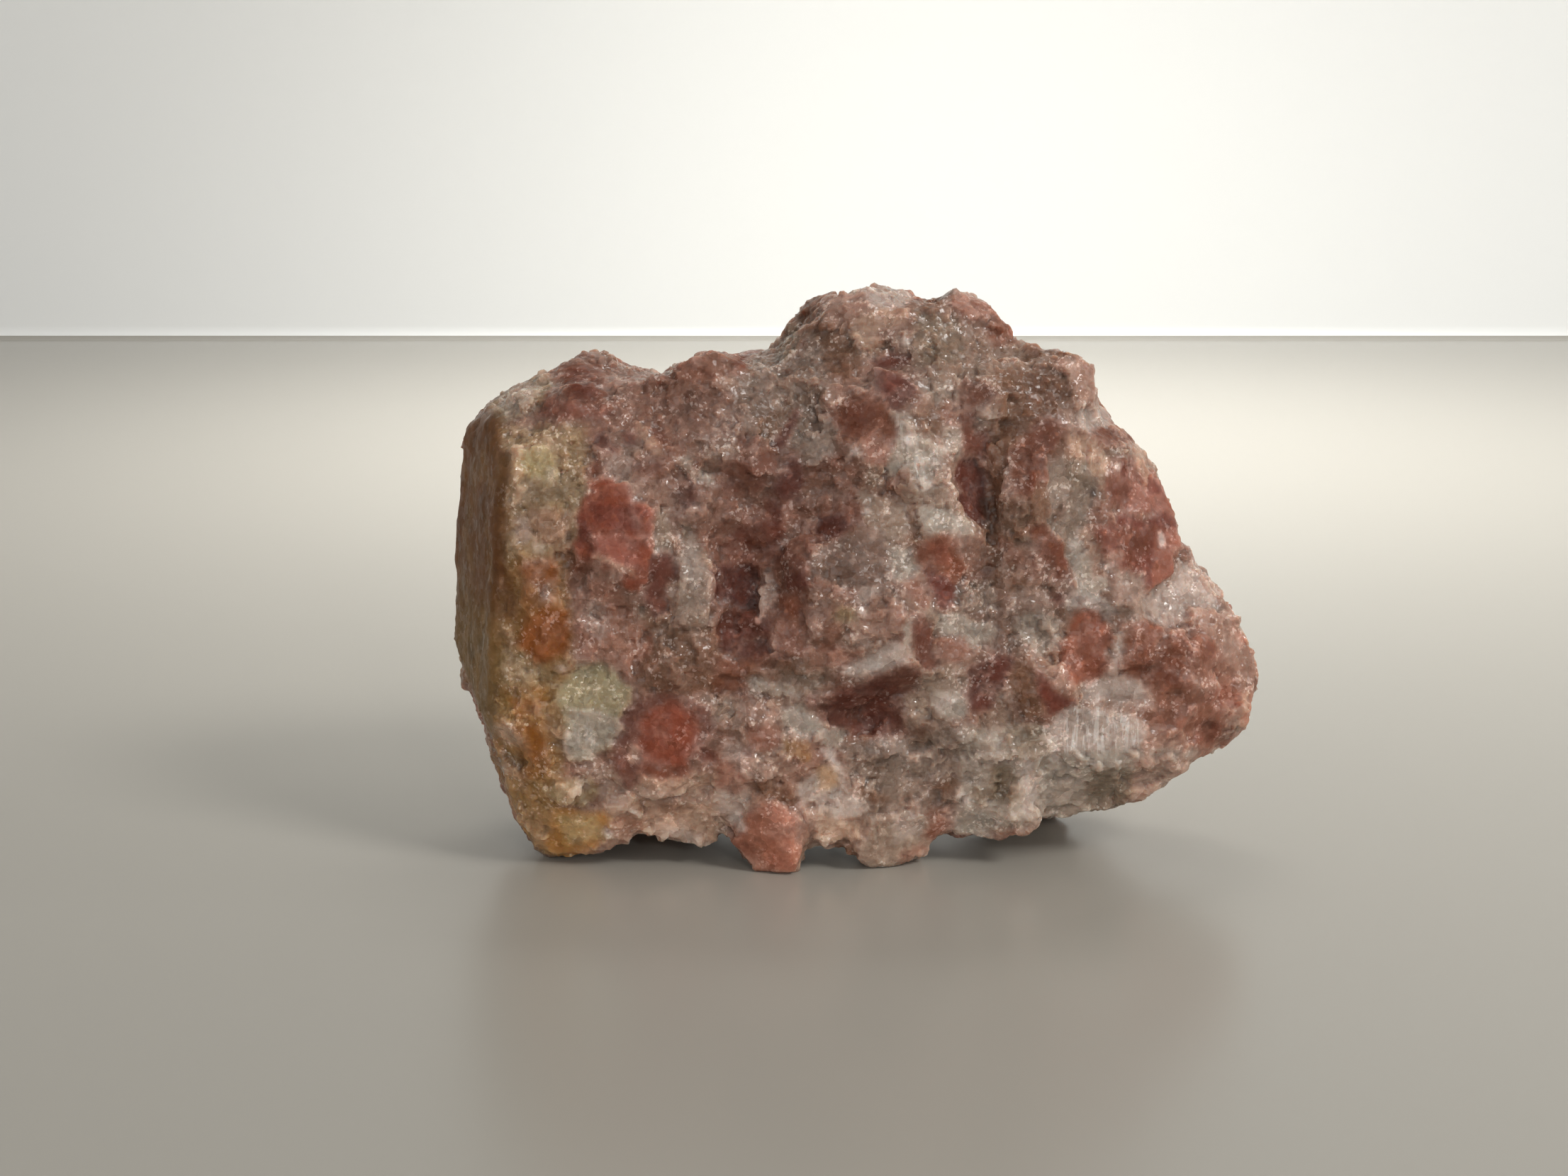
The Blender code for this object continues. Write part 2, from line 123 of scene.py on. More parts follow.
def coarserBehind(piece, kept):
    # fewer points where the stone is rarely looked at
    group = piece.vertex_groups.new(name="behind")
    for vertex in piece.data.vertices:
        place = vertex.co / mm
        under = stone["undersideTo"] - place.z if vertex.normal.z < -0.3 else 0
        hidden = max(place.y - stone["backFrom"], under)
        group.add([vertex.index], min(max(hidden / 3, 0), 1), "REPLACE")
    fewer = piece.modifiers.new("fewer", "DECIMATE")
    fewer.vertex_group = group.name
    fewer.ratio = kept
    graph = bpy.context.evaluated_depsgraph_get()
    piece.data = bpy.data.meshes.new_from_object(piece.evaluated_get(graph))
    piece.modifiers.clear()
    piece.vertex_groups.clear()


def dropStrayBits(mesh):
    # keeps the largest body and drops any bit that hangs loose inside it
    work = bmesh.new()
    work.from_mesh(mesh)
    left, bodies = set(work.verts), []
    while left:
        body = [left.pop()]
        for vertex in body:
            for edge in vertex.link_edges:
                neighbour = edge.other_vert(vertex)
                if neighbour in left:
                    left.remove(neighbour)
                    body.append(neighbour)
        bodies.append(body)
    for body in sorted(bodies, key=len)[:-1]:
        bmesh.ops.delete(work, geom=body, context="VERTS")
    work.to_mesh(mesh)
    work.free()


def pointsOf(mesh):
    flat = np.empty(len(mesh.vertices) * 3, np.float32)
    mesh.vertices.foreach_get("co", flat)
    return flat.reshape(-1, 3).astype(float) / mm


def setPoints(mesh, points):
    mesh.vertices.foreach_set("co", (points * mm).astype(np.float32).ravel())
    mesh.update()


def normalsOf(mesh):
    flat = np.empty(len(mesh.vertices) * 3, np.float32)
    mesh.vertex_normals.foreach_get("vector", flat)
    return flat.reshape(-1, 3).astype(float)


def edgesOf(mesh):
    flat = np.empty(len(mesh.edges) * 2, np.int32)
    mesh.edges.foreach_get("vertices", flat)
    return flat.reshape(-1, 2)


def averaged(values, edges, rounds, share=0.5):
    # each point moves towards the mean of its neighbours
    count = len(values)
    columns = values.reshape(count, -1)
    first, second = edges.T
    degree = np.bincount(edges.ravel(), minlength=count)[:, None]
    for _ in range(rounds):
        total = np.column_stack([
            np.bincount(first, column[second], count) + np.bincount(second, column[first], count)
            for column in columns.T
        ])
        columns = columns * (1 - share) + share * total / degree
    return columns.reshape(values.shape)


def drift(points, size, seed):
    # three smooth random values at each point, from -1 to 1
    noise.seed_set(seed)
    shift = Vector((13.7 * seed, 5.1 * seed, 9.3 * seed))
    return np.array([noise.noise_vector(Vector(p) / size + shift) for p in points])


def dotted(first, second):
    return np.einsum("ij,ij->i", first, second)


def unit(vectors):
    return vectors / np.maximum(np.linalg.norm(vectors, axis=-1, keepdims=True), 1e-9)


def blend(low, high, values):
    # 0 below low, 1 above high and smooth between
    share = np.clip((values - low) / (high - low), 0, 1)
    return share * share * (3 - 2 * share)


def nearestOf(points, middles):
    tree = kdtree.KDTree(len(middles))
    for index, middle in enumerate(middles):
        tree.insert(middle, index)
    tree.balance()
    return np.array([tree.find(p)[1] for p in points])


def scattered(points, size, area, random):
    return points[random.choice(len(points), int(area / (0.75 * size * size)), replace=False)]


def nestedGrains(points, sizes, area, random):
    # large grains are made of whole small ones, so every border is jagged
    grain, middles = np.arange(len(points)), points
    found = []
    for size in sizes:
        larger = scattered(points, size, area, random)
        grain = nearestOf(middles, larger)[grain]
        middles = larger
        found.append((grain, middles))
    return found


def flattened(points, along, grain, look, random, amount):
    # the points of a grain move along their directions onto one leaning plane
    count = grain.max() + 1
    members = np.maximum(np.bincount(grain, minlength=count), 1)[:, None]
    normals = normalsOf(stoneMesh)
    middle = np.column_stack([np.bincount(grain, column, count) for column in points.T]) / members
    facing = np.column_stack([np.bincount(grain, column, count) for column in normals.T])
    facing = unit(unit(facing) + look["lean"] * random.normal(size=facing.shape))
    rise = dotted(middle[grain] - points, facing[grain])
    rise /= np.maximum(dotted(along, facing[grain]), stone["steepestFace"])
    rise = np.clip(rise, -stone["deepestCut"], stone["deepestCut"]) * look["flatness"]
    rise += random.uniform(-look["step"], look["step"], count)[grain]
    return points + along * (rise * amount * (1 - stone["endSmoothness"] * weathered))[:, None]


def crispBorders(mesh, grain, smooth):
    # sharp edges wherever two grains meet, except on the smooth points
    corners, sides = np.empty(len(mesh.loops), np.int32), np.empty(len(mesh.loops), np.int32)
    starts = np.empty(len(mesh.polygons), np.int32)
    mesh.loops.foreach_get("vertex_index", corners)
    mesh.loops.foreach_get("edge_index", sides)
    mesh.polygons.foreach_get("loop_start", starts)
    label = np.repeat(np.where(smooth, -1, grain)[corners[starts]], np.diff(np.append(starts, len(corners))))
    least, most = np.full(len(mesh.edges), label.max() + 1), np.full(len(mesh.edges), -2)
    np.minimum.at(least, sides, label)
    np.maximum.at(most, sides, label)
    mesh.attributes.new("sharp_edge", "BOOLEAN", "EDGE").data.foreach_set("value", least != most)


def endAmount(points):
    # 1 on the weathered left end
    beyond = (points - np.array(leftEnd["place"])) @ unit(np.array(leftEnd["facing"]))
    return np.clip(1 + beyond / leftEnd["reach"], 0, 1)


def insideOutline(across, upright, outline):
    # how deep each point is inside the outline, negative outside
    corners = np.array(outline, float)
    nearest = np.full(len(across), 1e9)
    inside = np.zeros(len(across), bool)
    for (ax, az), (bx, bz) in zip(corners, np.roll(corners, -1, 0)):
        sideX, sideZ = bx - ax, bz - az
        along = ((across - ax) * sideX + (upright - az) * sideZ) / (sideX**2 + sideZ**2 + 1e-12)
        along = np.clip(along, 0, 1)
        nearest = np.minimum(nearest, np.hypot(across - ax - along * sideX, upright - az - along * sideZ))
        crossing = (az > upright) != (bz > upright)
        inside ^= crossing & (across < sideX * (upright - az) / (sideZ + 1e-12) + ax)
    return np.where(inside, nearest, -nearest)


def outlineWeight(across, upright, outline, softness):
    # worked out only for the points near the outline
    corners = np.array(outline, float)
    least, most = corners.min(0) - softness, corners.max(0) + softness
    near = (across > least[0]) & (across < most[0]) & (upright > least[1]) & (upright < most[1])
    weight = np.zeros(len(across))
    weight[near] = blend(-softness, softness, insideOutline(across[near], upright[near], outline))
    return weight


# the minerals, as the eye sees them: red, green and blue from 0 to 255
colours = {
    "deepMaroon": (78, 40, 31),
    "darkMaroon": (92, 53, 43),
    "maroon": (104, 67, 55),
    "darkRust": (104, 64, 48),
    "rust": (118, 77, 61),
    "darkRed": (103, 55, 42),
    "red": (128, 74, 56),
    "pinkRed": (140, 92, 80),
    "redTip": (148, 104, 88),
    "copper": (146, 101, 86),
    "salmon": (142, 104, 90),
    "pink": (149, 119, 106),
    "palePink": (173, 144, 127),
    "lilac": (154, 130, 119),
    "brownPink": (125, 95, 83),
    "brown": (112, 83, 67),
    "darkBrown": (92, 68, 56),
    "black": (58, 42, 34),
    "olive": (116, 99, 84),
    "rosyGrey": (114, 91, 80),
    "grey": (129, 111, 100),
    "greyBeige": (140, 120, 107),
    "lightGrey": (157, 142, 131),
    "pale": (173, 154, 144),
    "white": (192, 175, 166),
    "cream": (160, 140, 111),
    "greenCream": (145, 130, 107),
    "ochre": (138, 108, 72),
    "orange": (128, 80, 46),
    "brightOrange": (144, 96, 54),
    "beigeOrange": (154, 115, 78),
    "oliveBeige": (147, 124, 100),
    "endBrown": (97, 63, 32),
    "endOlive": (112, 89, 58),
}

# Each patch of the front: colour, strength, softness of its edge, outline as (across, up).
# The outlines are drawn on an upright sheet just in front of the stone.
frontPatches = [
    # wide grounds first
    ("oliveBeige", 0.8, 0.8, [(-25, 30.5), (-18.4, 30.6), (-18.2, 26), (-19.5, 21), (-24.5, 21)]),
    ("ochre", 0.7, 0.9, [(-25.5, 21.5), (-20, 21.5), (-19.4, 14), (-20.4, 6), (-20.4, 0), (-25, 0)]),
    ("brownPink", 0.85, 1.0, [(-16.5, 34.5), (-7.8, 34), (-7.5, 29.6), (-13, 28.4), (-17, 30.8)]),
    ("brownPink", 0.8, 0.9, [(-13.2, 28.2), (-9.8, 28.4), (-5.4, 27.8), (-7.5, 24), (-10, 21.5),
        (-12.5, 22)]),
    ("brown", 0.75, 0.9, [(-14.5, 18.5), (-9.4, 18.8), (-3, 17), (-3.2, 13.8), (-9.4, 12), (-15.6, 12)]),
    ("palePink", 0.7, 0.9, [(-17.5, 6.2), (-9.6, 6.2), (-9.4, 0.8), (-17.5, 0.8)]),
    ("grey", 0.7, 0.9, [(-8, 35.4), (-2.4, 35.6), (-1.4, 33.5), (-1.4, 29), (-3.8, 27.8), (-7.6, 30),
        (-8.6, 33)]),
    ("maroon", 0.6, 0.8, [(-9.3, 28.4), (-4.4, 29.4), (0.2, 28.4), (0.4, 24.2), (-3.2, 21.4),
        (-9.2, 22.2)]),
    ("greyBeige", 0.6, 0.8, [(3.6, 38.8), (9.4, 36.4), (11, 34.8), (7, 33.6), (4, 33.6), (3.6, 35.4)]),
    ("grey", 0.8, 0.9, [(-1.2, 8.4), (4, 8.8), (7.4, 9.6), (7.6, 7), (7, 4), (0.6, 3), (-0.2, 5)]),
    # pale ground low on the right: partly the stone's colour, partly painted light on the underside
    ("lightGrey", 0.8, 0.9, [(7.4, 9.6), (13.4, 9.6), (13.8, 3), (7, 1.4)]),
    ("brown", 0.75, 0.9, [(9.2, 34.6), (14.4, 34.4), (14.8, 31.6), (12.8, 28), (13, 24), (9.4, 22),
        (8.8, 28)]),
    ("rosyGrey", 0.7, 0.9, [(6.6, 19.8), (14.4, 20), (19.6, 19.4), (19, 16.8), (14, 17), (11, 14.8),
        (7.4, 15)]),
    ("salmon", 0.7, 0.9, [(17.8, 17), (25, 16), (27, 12), (24, 7.2), (19.4, 8), (19.8, 12)]),
    ("maroon", 0.65, 0.6, [(-9.8, 23.2), (-8.6, 24.4), (-6, 25.4), (-4.6, 22.4), (-3.4, 20.4), (-3, 17.2),
        (-3.4, 14.8), (-6, 13.8), (-9, 14.2), (-10, 17), (-9.9, 20.5)]),
    # pale ground low on the right: partly the stone's colour, partly painted light on the underside
    ("lightGrey", 0.8, 0.9, [(13, 8.4), (20, 8.2), (24, 8), (22, 5), (18, 2), (13.5, 2)]),
    ("pale", 0.7, 0.5, [(-9.6, 5.6), (-7.6, 5.2), (-7.2, 3.6), (-8.6, 2.8), (-9.8, 3.6)]),
    # left shoulder
    ("greenCream", 0.5, 0.3, [(-25, 31), (-24.4, 32.3), (-22.2, 34), (-21, 34.6), (-20.5, 33.2),
        (-21.7, 31.6), (-24.3, 30.6)]),
    ("pale", 0.5, 0.4, [(-24.2, 32.3), (-22.6, 33.6), (-21.4, 33.2), (-21.9, 31.8), (-23.6, 31.1)]),
    ("pinkRed", 0.45, 0.4, [(-21.9, 31.5), (-20.3, 32.7), (-17, 32.1), (-16.6, 31.2), (-20.6, 30.9)]),
    ("brownPink", 0.9, 0.25, [(-20.7, 34.2), (-19.5, 35.3), (-18.2, 35.6), (-16.5, 34.4), (-16.3, 32.9),
        (-17.8, 31.9), (-20.3, 32.5)]),
    ("darkRust", 0.95, 0.4, [(-19.6, 34.3), (-17.5, 34.4), (-17, 32.8), (-17.6, 32), (-19.8, 32.5)]),
    ("darkMaroon", 0.6, 0.5, [(-19.3, 33.9), (-18, 33.8), (-17.7, 32.6), (-19, 32.7)]),
    ("darkBrown", 0.9, 0.12, [(-22.7, 30.25), (-22.3, 30.5), (-21.9, 30.15)]),
    ("brown", 0.8, 0.2, [(-21.5, 30.9), (-20.4, 31.05), (-21.3, 30.15)]),
    ("cream", 0.95, 0.12, [(-22.8, 28.9), (-21, 29.2), (-20.4, 28.4), (-20.2, 26.9), (-21.1, 26.7),
        (-22.2, 27.1), (-22.8, 27.9)]),
    ("white", 0.45, 0.2, [(-21.2, 27.8), (-20.4, 27.6), (-20.3, 26.95), (-21, 26.8)]),
    ("olive", 0.5, 0.3, [(-22.6, 26.6), (-19.6, 26.6), (-19.3, 25.6), (-22.8, 25.4)]),
    ("darkMaroon", 0.85, 0.15, [(-17.9, 30.1), (-17.3, 30.1), (-16.3, 29.2), (-16.2, 28.8), (-16.7, 28.5),
        (-17.7, 29.4)]),
    ("darkMaroon", 0.8, 0.15, [(-15.9, 30.2), (-15.2, 30.2), (-14.9, 29.6), (-15.2, 29.1), (-15.8, 29.3)]),
    ("maroon", 0.7, 0.25, [(-14, 30.5), (-13, 30.4), (-12.8, 29.2), (-13.6, 29.6)]),
    ("maroon", 0.6, 0.3, [(-15.2, 28.4), (-13.2, 28), (-13.4, 27.2), (-15.2, 27.4)]),
    ("darkRust", 0.85, 0.15, [(-18.2, 27.9), (-17.6, 28.4), (-17.1, 28.1), (-17.5, 27.2), (-18.4, 27)]),
    ("pale", 0.6, 0.12, [(-17.1, 30), (-16.5, 29.4), (-16.7, 29.6), (-17, 30.1)]),
    ("lilac", 0.95, 0.12, [(-16.9, 28.2), (-16.3, 28.7), (-15.4, 28.5), (-15, 28), (-15.5, 26.9),
        (-16.2, 26.4), (-16.7, 27.1), (-17.4, 27.4)]),
    ("palePink", 0.6, 0.2, [(-15, 30.6), (-14.2, 30.4), (-13.5, 29.4), (-13.2, 28.7), (-13.9, 28.6),
        (-14.4, 29.6)]),
    # red block on the left
    ("red", 0.95, 0.12, [(-18.1, 26.9), (-16.6, 27), (-16.2, 26.4), (-15.5, 26.4), (-15.3, 25.6),
        (-14.1, 25), (-13.9, 23.4), (-14.1, 21.8), (-14.3, 20), (-15, 19.3), (-16, 19.7), (-16.3, 20.4),
        (-18.3, 21.1), (-19.3, 22.3), (-19.1, 24.4), (-18.6, 25), (-18.2, 25.9)]),
    ("darkRed", 0.75, 0.3, [(-18, 25.2), (-14.3, 25), (-14.3, 24.4), (-15, 23.1), (-16.2, 23.4),
        (-18, 24)]),
    ("darkRed", 0.7, 0.2, [(-19.1, 24.4), (-18.2, 24.4), (-18.1, 22.4), (-19.2, 22.4)]),
    ("pinkRed", 0.8, 0.3, [(-18, 23.1), (-15.2, 22.9), (-15, 21), (-16.2, 21), (-18.1, 21.4)]),
    ("palePink", 0.65, 0.12, [(-18.3, 21), (-17.9, 21.9), (-17, 21.5), (-16.3, 21.1), (-15.1, 20.7),
        (-15.2, 20.3), (-16.6, 20.8), (-17.2, 21.1)]),
    ("rust", 0.6, 0.3, [(-20.6, 21.9), (-19.2, 22.2), (-17.8, 21), (-16.2, 20.2), (-17, 20.2),
        (-19.6, 20.6)]),
    ("greyBeige", 0.9, 0.12, [(-13.9, 21.7), (-13.7, 24.8), (-12.8, 24.8), (-12.6, 23), (-12.4, 21.9)]),
    ("pink", 0.8, 0.25, [(-15.2, 26.2), (-13, 26.8), (-12.4, 25.2), (-13.7, 24.9)]),
    ("white", 0.7, 0.1, [(-14.1, 21.7), (-13.9, 22), (-12.6, 22), (-13, 21.8)]),
    ("darkMaroon", 0.85, 0.15, [(-14.2, 21.7), (-12.4, 21.9), (-12.2, 20), (-13, 19.7), (-12.8, 17.6),
        (-14, 17.4), (-14.6, 18.5)]),
    ("darkMaroon", 0.85, 0.15, [(-12.3, 26.6), (-11.2, 26.7), (-10.6, 26), (-11, 25.1), (-12, 24.8),
        (-12.4, 25.6)]),
    ("lightGrey", 0.75, 0.2, [(-12.3, 28.3), (-11.4, 28.5), (-11, 27.6), (-9.9, 27.7), (-9.7, 26.5),
        (-10.4, 26.4), (-12, 27.6)]),
    ("greyBeige", 0.85, 0.25, [(-12.2, 24), (-11.4, 23.8), (-10.6, 22.3), (-9.9, 20.9), (-10.1, 17.5),
        (-10.9, 16.6), (-12.4, 17.6), (-12, 21.9)]),
    ("pale", 0.6, 0.3, [(-12, 22.2), (-11.2, 22.6), (-10.4, 20.8), (-11.2, 19.2), (-11.9, 19.8)]),
    # left band
    ("orange", 0.5, 0.7, [(-23.2, 21.5), (-20.4, 21.5), (-20, 14.5), (-23, 14.2)]),
    ("brightOrange", 0.4, 0.6, [(-23.8, 12.4), (-21.2, 12.2), (-21.2, 6.2), (-23.4, 5.8)]),
    ("lilac", 0.7, 0.25, [(-23.2, 24.6), (-22.6, 24.4), (-22.1, 23.6), (-22.2, 22.8), (-22.8, 22.4),
        (-23.4, 23.4)]),
    ("white", 0.5, 0.15, [(-22, 22.9), (-21.1, 22.1), (-22.2, 22.1)]),
    ("salmon", 0.45, 0.6, [(-22.5, 25), (-19.4, 24.8), (-19.4, 22.2), (-21.9, 22.6)]),
    ("orange", 0.85, 0.3, [(-23, 20.9), (-21, 21.6), (-20.3, 20.9), (-20.8, 19.6), (-21.3, 18.6),
        (-22.6, 20)]),
    ("black", 0.8, 0.12, [(-21.3, 19.9), (-21, 19.7), (-21.1, 18.6), (-21.5, 18.2), (-21.7, 18.9)]),
    ("endBrown", 0.8, 0.5, [(-25.2, 22.5), (-23.5, 20), (-23.2, 17.2), (-25.2, 17.2)]),
    ("orange", 0.95, 0.4, [(-23, 16.3), (-21.6, 18), (-19.9, 17.8), (-19.6, 16.5), (-19.8, 15.3),
        (-21.1, 14.3), (-22.6, 14), (-23.3, 15.2)]),
    ("oliveBeige", 0.8, 0.4, [(-24.9, 15.2), (-23, 15), (-21.4, 13.8), (-20.4, 12.6), (-24.4, 12.4)]),
    ("ochre", 0.8, 0.4, [(-24.6, 12), (-21, 12), (-20.9, 10.8), (-22, 10), (-24.4, 10)]),
    ("brightOrange", 0.7, 0.35, [(-24, 11.6), (-21.4, 11.6), (-22, 10.4), (-23.6, 10.2)]),
    ("palePink", 0.6, 0.3, [(-25.1, 9.6), (-24.2, 10), (-23, 9), (-23.2, 8.2), (-24.6, 8.4)]),
    ("brightOrange", 0.95, 0.25, [(-22.8, 9.9), (-21.9, 9.2), (-21.6, 8), (-21.9, 6.9), (-22.8, 7.3)]),
    ("olive", 0.6, 0.4, [(-24.8, 7.8), (-23.2, 7.6), (-22.6, 6.4), (-24.4, 6.4)]),
    ("cream", 0.6, 0.3, [(-21.9, 5), (-19.7, 5.7), (-18.4, 6.1), (-17.9, 4.7), (-18.9, 4), (-20.8, 4.2)]),
    ("beigeOrange", 0.95, 0.25, [(-21.3, 3.6), (-19.9, 3.9), (-17.4, 3.4), (-17, 2.4), (-17.6, 1.1),
        (-19, 0), (-20.9, 0), (-21.9, 0.9), (-21.2, 2.3)]),
    ("cream", 0.6, 0.4, [(-21, 3.4), (-18, 3.3), (-17.6, 1.6), (-20.2, 0.8)]),
    ("pale", 0.6, 0.3, [(-19.6, 5.5), (-18.6, 5.9), (-18.4, 5), (-19.6, 4.9)]),
    ("lilac", 0.6, 0.4, [(-17.9, 6.4), (-15.6, 5.6), (-16.2, 3.6), (-17.8, 3.8)]),
    ("white", 0.8, 0.12, [(-17.7, 2.3), (-17.2, 2.4), (-16.9, 1.9), (-17.3, 1.5), (-17.7, 1.8)]),
    ("rust", 0.5, 0.4, [(-17, 3), (-14.8, 3.2), (-15, 1.5), (-16.8, 1.2)]),
    # pale crystals left of the middle
    ("salmon", 0.7, 0.35, [(-18.9, 18.9), (-17.6, 20.1), (-16.4, 19.5), (-15.9, 18.5), (-14.6, 17),
        (-14, 15.9), (-14.3, 14.6), (-15.5, 13.8), (-17.9, 14.1), (-19.5, 14.6), (-19.5, 16.4)]),
    ("lilac", 0.7, 0.3, [(-18.7, 18.6), (-17.6, 18.7), (-17, 17.2), (-17.3, 15.6), (-18.6, 16.2)]),
    ("greenCream", 0.95, 0.12, [(-20.5, 12.4), (-19.3, 13.7), (-17.8, 14.2), (-16.3, 13.2), (-15.6, 12.3),
        (-15.3, 11.3), (-16.2, 10.4), (-16.1, 8.8), (-17.1, 8), (-18.4, 7.3), (-20, 7.1), (-20.2, 10.4),
        (-20.8, 11.4)]),
    ("lightGrey", 0.8, 0.3, [(-19.9, 10.9), (-17.8, 10.8), (-16.3, 9.9), (-16.2, 8.8), (-18.4, 7.4),
        (-19.9, 7.3)]),
    ("white", 0.85, 0.08, [(-20.15, 9.4), (-19.95, 9.4), (-19.85, 7.1), (-20.05, 7.1)]),
    ("white", 0.6, 0.1, [(-18.8, 9.1), (-18.6, 9.1), (-18, 8.4), (-18.2, 8.3)]),
    # red block near the foot
    ("maroon", 0.9, 0.15, [(-16.9, 8.5), (-16.1, 9.2), (-16.2, 10.4), (-15.3, 11.6), (-13, 12),
        (-10.3, 11.1), (-9.8, 9.6), (-10.4, 8.5), (-11.2, 7.6), (-11.9, 5.9), (-14.8, 6.2), (-15.3, 5.1),
        (-16.1, 5.6), (-16.9, 7)]),
    ("red", 0.95, 0.2, [(-14.9, 10.4), (-12.5, 11.6), (-11, 10.4), (-10.8, 8.4), (-11.7, 7.4), (-11.9, 6),
        (-13.5, 5.9), (-15, 6.6)]),
    ("darkRust", 0.85, 0.15, [(-15, 6.9), (-11.9, 6.8), (-11.9, 6), (-13.5, 5.8), (-14.9, 6.2)]),
    ("palePink", 0.6, 0.15, [(-15.9, 8.2), (-15.2, 8), (-15.2, 7), (-15.8, 6.9)]),
    ("darkRed", 0.8, 0.2, [(-11, 8.1), (-9.8, 8), (-9.6, 7), (-10.8, 7.1)]),
    ("brown", 0.6, 0.3, [(-13.8, 4.2), (-11.8, 4.3), (-11.2, 3.6), (-12.2, 3.2), (-13.6, 3.4)]),
    ("lilac", 0.6, 0.3, [(-15.6, 5), (-14, 5), (-12, 4.6), (-9.8, 5.4), (-9.8, 4.2), (-14, 4)]),
    ("pale", 0.65, 0.25, [(-13.6, 2.3), (-11.9, 2.4), (-10.6, 1.4), (-9.4, 0.9), (-9.2, 0.5), (-11, 1.1),
        (-13.4, 1.6)]),
    ("palePink", 0.6, 0.3, [(-15.1, 2.2), (-14.1, 2.6), (-13.8, 1.6), (-15, 1.3)]),
    # crown
    ("rust", 0.5, 0.4, [(-12.2, 35.2), (-9.8, 35.8), (-6.8, 35.5), (-7.4, 34.2), (-9.5, 33.6),
        (-12.4, 33.6)]),
    ("palePink", 0.5, 0.3, [(-9.4, 33.9), (-8.2, 33.7), (-8.3, 33.1), (-9.2, 33.2)]),
    ("darkRust", 0.9, 0.15, [(-8.6, 34.9), (-8.4, 34.2), (-7.9, 33.9), (-7.5, 34.2), (-7.6, 34.8),
        (-7.3, 35.3)]),
    ("olive", 0.8, 0.25, [(-5.6, 36.1), (-4.4, 37.2), (-4, 37.2), (-4.1, 35.6), (-5.4, 35)]),
    ("grey", 0.7, 0.3, [(-3.9, 37), (-2, 37), (-1.9, 35.2), (-3.6, 35)]),
    ("pink", 0.95, 0.25, [(-3.1, 38.5), (-1.9, 39.5), (-0.6, 39.5), (0, 39.9), (0.4, 39), (0.7, 38),
        (-0.7, 37.6), (-1.6, 37.2), (-2.2, 38)]),
    ("brown", 0.65, 0.35, [(-4, 37.9), (-3, 38.3), (-1, 37.1), (-0.8, 36.3), (-2.5, 36.4), (-3.9, 37.1)]),
    ("brown", 0.75, 0.25, [(-2.6, 36.5), (-0.6, 36.2), (0.2, 35.4), (0.4, 34.6), (-0.4, 33.9), (-1.7, 34.2),
        (-2.3, 35)]),
    ("pale", 0.85, 0.25, [(0.2, 40.2), (1.8, 40.5), (3, 40), (3.7, 39.2), (2.8, 38.6), (1, 38.4),
        (0.4, 39.2)]),
    ("white", 0.25, 0.3, [(0.4, 40.4), (2.1, 40.4), (2.2, 39), (0.8, 38.9)]),
    ("palePink", 0.75, 0.4, [(0.6, 38.5), (3.3, 38.4), (3, 37.1), (-0.3, 36.8), (-0.6, 37.5)]),
    ("palePink", 0.7, 0.3, [(-0.8, 36.9), (1.1, 37), (1.4, 36), (1, 35.4), (0.3, 35.4), (0, 36)]),
    ("white", 0.7, 0.12, [(2.9, 36.5), (3.4, 36.4), (3.2, 35.9), (2.8, 36)]),
    ("brown", 0.8, 0.25, [(4.2, 38.4), (4.7, 39.7), (5.3, 39.7), (5.9, 39.1), (5.3, 38.4), (4.5, 38.1)]),
    ("olive", 0.5, 0.6, [(3.8, 38.2), (6.6, 37.6), (7, 35), (4.2, 34.8)]),
    ("salmon", 0.9, 0.3, [(6, 39.1), (7.5, 40), (8.5, 39.2), (9.4, 38.4), (8.6, 37.5), (6.4, 38.3)]),
    ("rust", 0.7, 0.3, [(8.4, 38.2), (9.6, 38), (11, 36.7), (10.7, 36), (9, 35.9), (8.4, 37.2)]),
    ("darkMaroon", 0.85, 0.15, [(0.7, 35.2), (1, 34.5), (1.4, 34.1), (2.2, 34.6), (3.4, 34.7), (3.7, 35.3),
        (2.2, 35.6), (1.3, 34.9)]),
    ("lilac", 0.6, 0.25, [(2.3, 34.5), (3.2, 34.5), (5.2, 34.9), (5, 34), (3, 33.9)]),
    ("darkMaroon", 0.85, 0.2, [(0.9, 34.4), (2.3, 34.1), (3.1, 33.8), (3.9, 33.4), (3.8, 32.4), (2.4, 31.6),
        (1.2, 32.4), (1, 33.4)]),
    ("darkRed", 0.7, 0.3, [(1.7, 33.8), (3, 33.7), (2.8, 32.5), (1.6, 32.4)]),
    ("rust", 0.95, 0.3, [(-1.6, 31.9), (0, 32.6), (1, 33.2), (1.6, 32.2), (2, 31.6), (2.6, 31), (2.6, 30),
        (2.2, 29.3), (1.2, 30.2), (-0.9, 29.5), (-1.5, 30.3), (-2.4, 31.5)]),
    ("darkRust", 0.6, 0.4, [(-1, 31.9), (0.6, 32.2), (0.8, 30.4), (-0.8, 30.4)]),
    ("salmon", 0.9, 0.3, [(0.2, 30), (1.2, 30.3), (2.3, 29.4), (2.2, 27.9), (0.5, 27.9)]),
    ("pink", 0.7, 0.35, [(-2.2, 33.5), (-1, 33.6), (-0.9, 32), (-2.3, 31.9)]),
    ("brown", 0.6, 0.4, [(-7, 31.3), (-4.4, 31.9), (-3.8, 31.7), (-4.4, 30.2), (-5, 29.3), (-6.6, 29.7)]),
    ("darkMaroon", 0.85, 0.15, [(-3.8, 31.7), (-4.2, 31.7), (-5, 30.4), (-5.9, 29.3), (-5.4, 28.8),
        (-4.6, 29.8), (-4.1, 30.8)]),
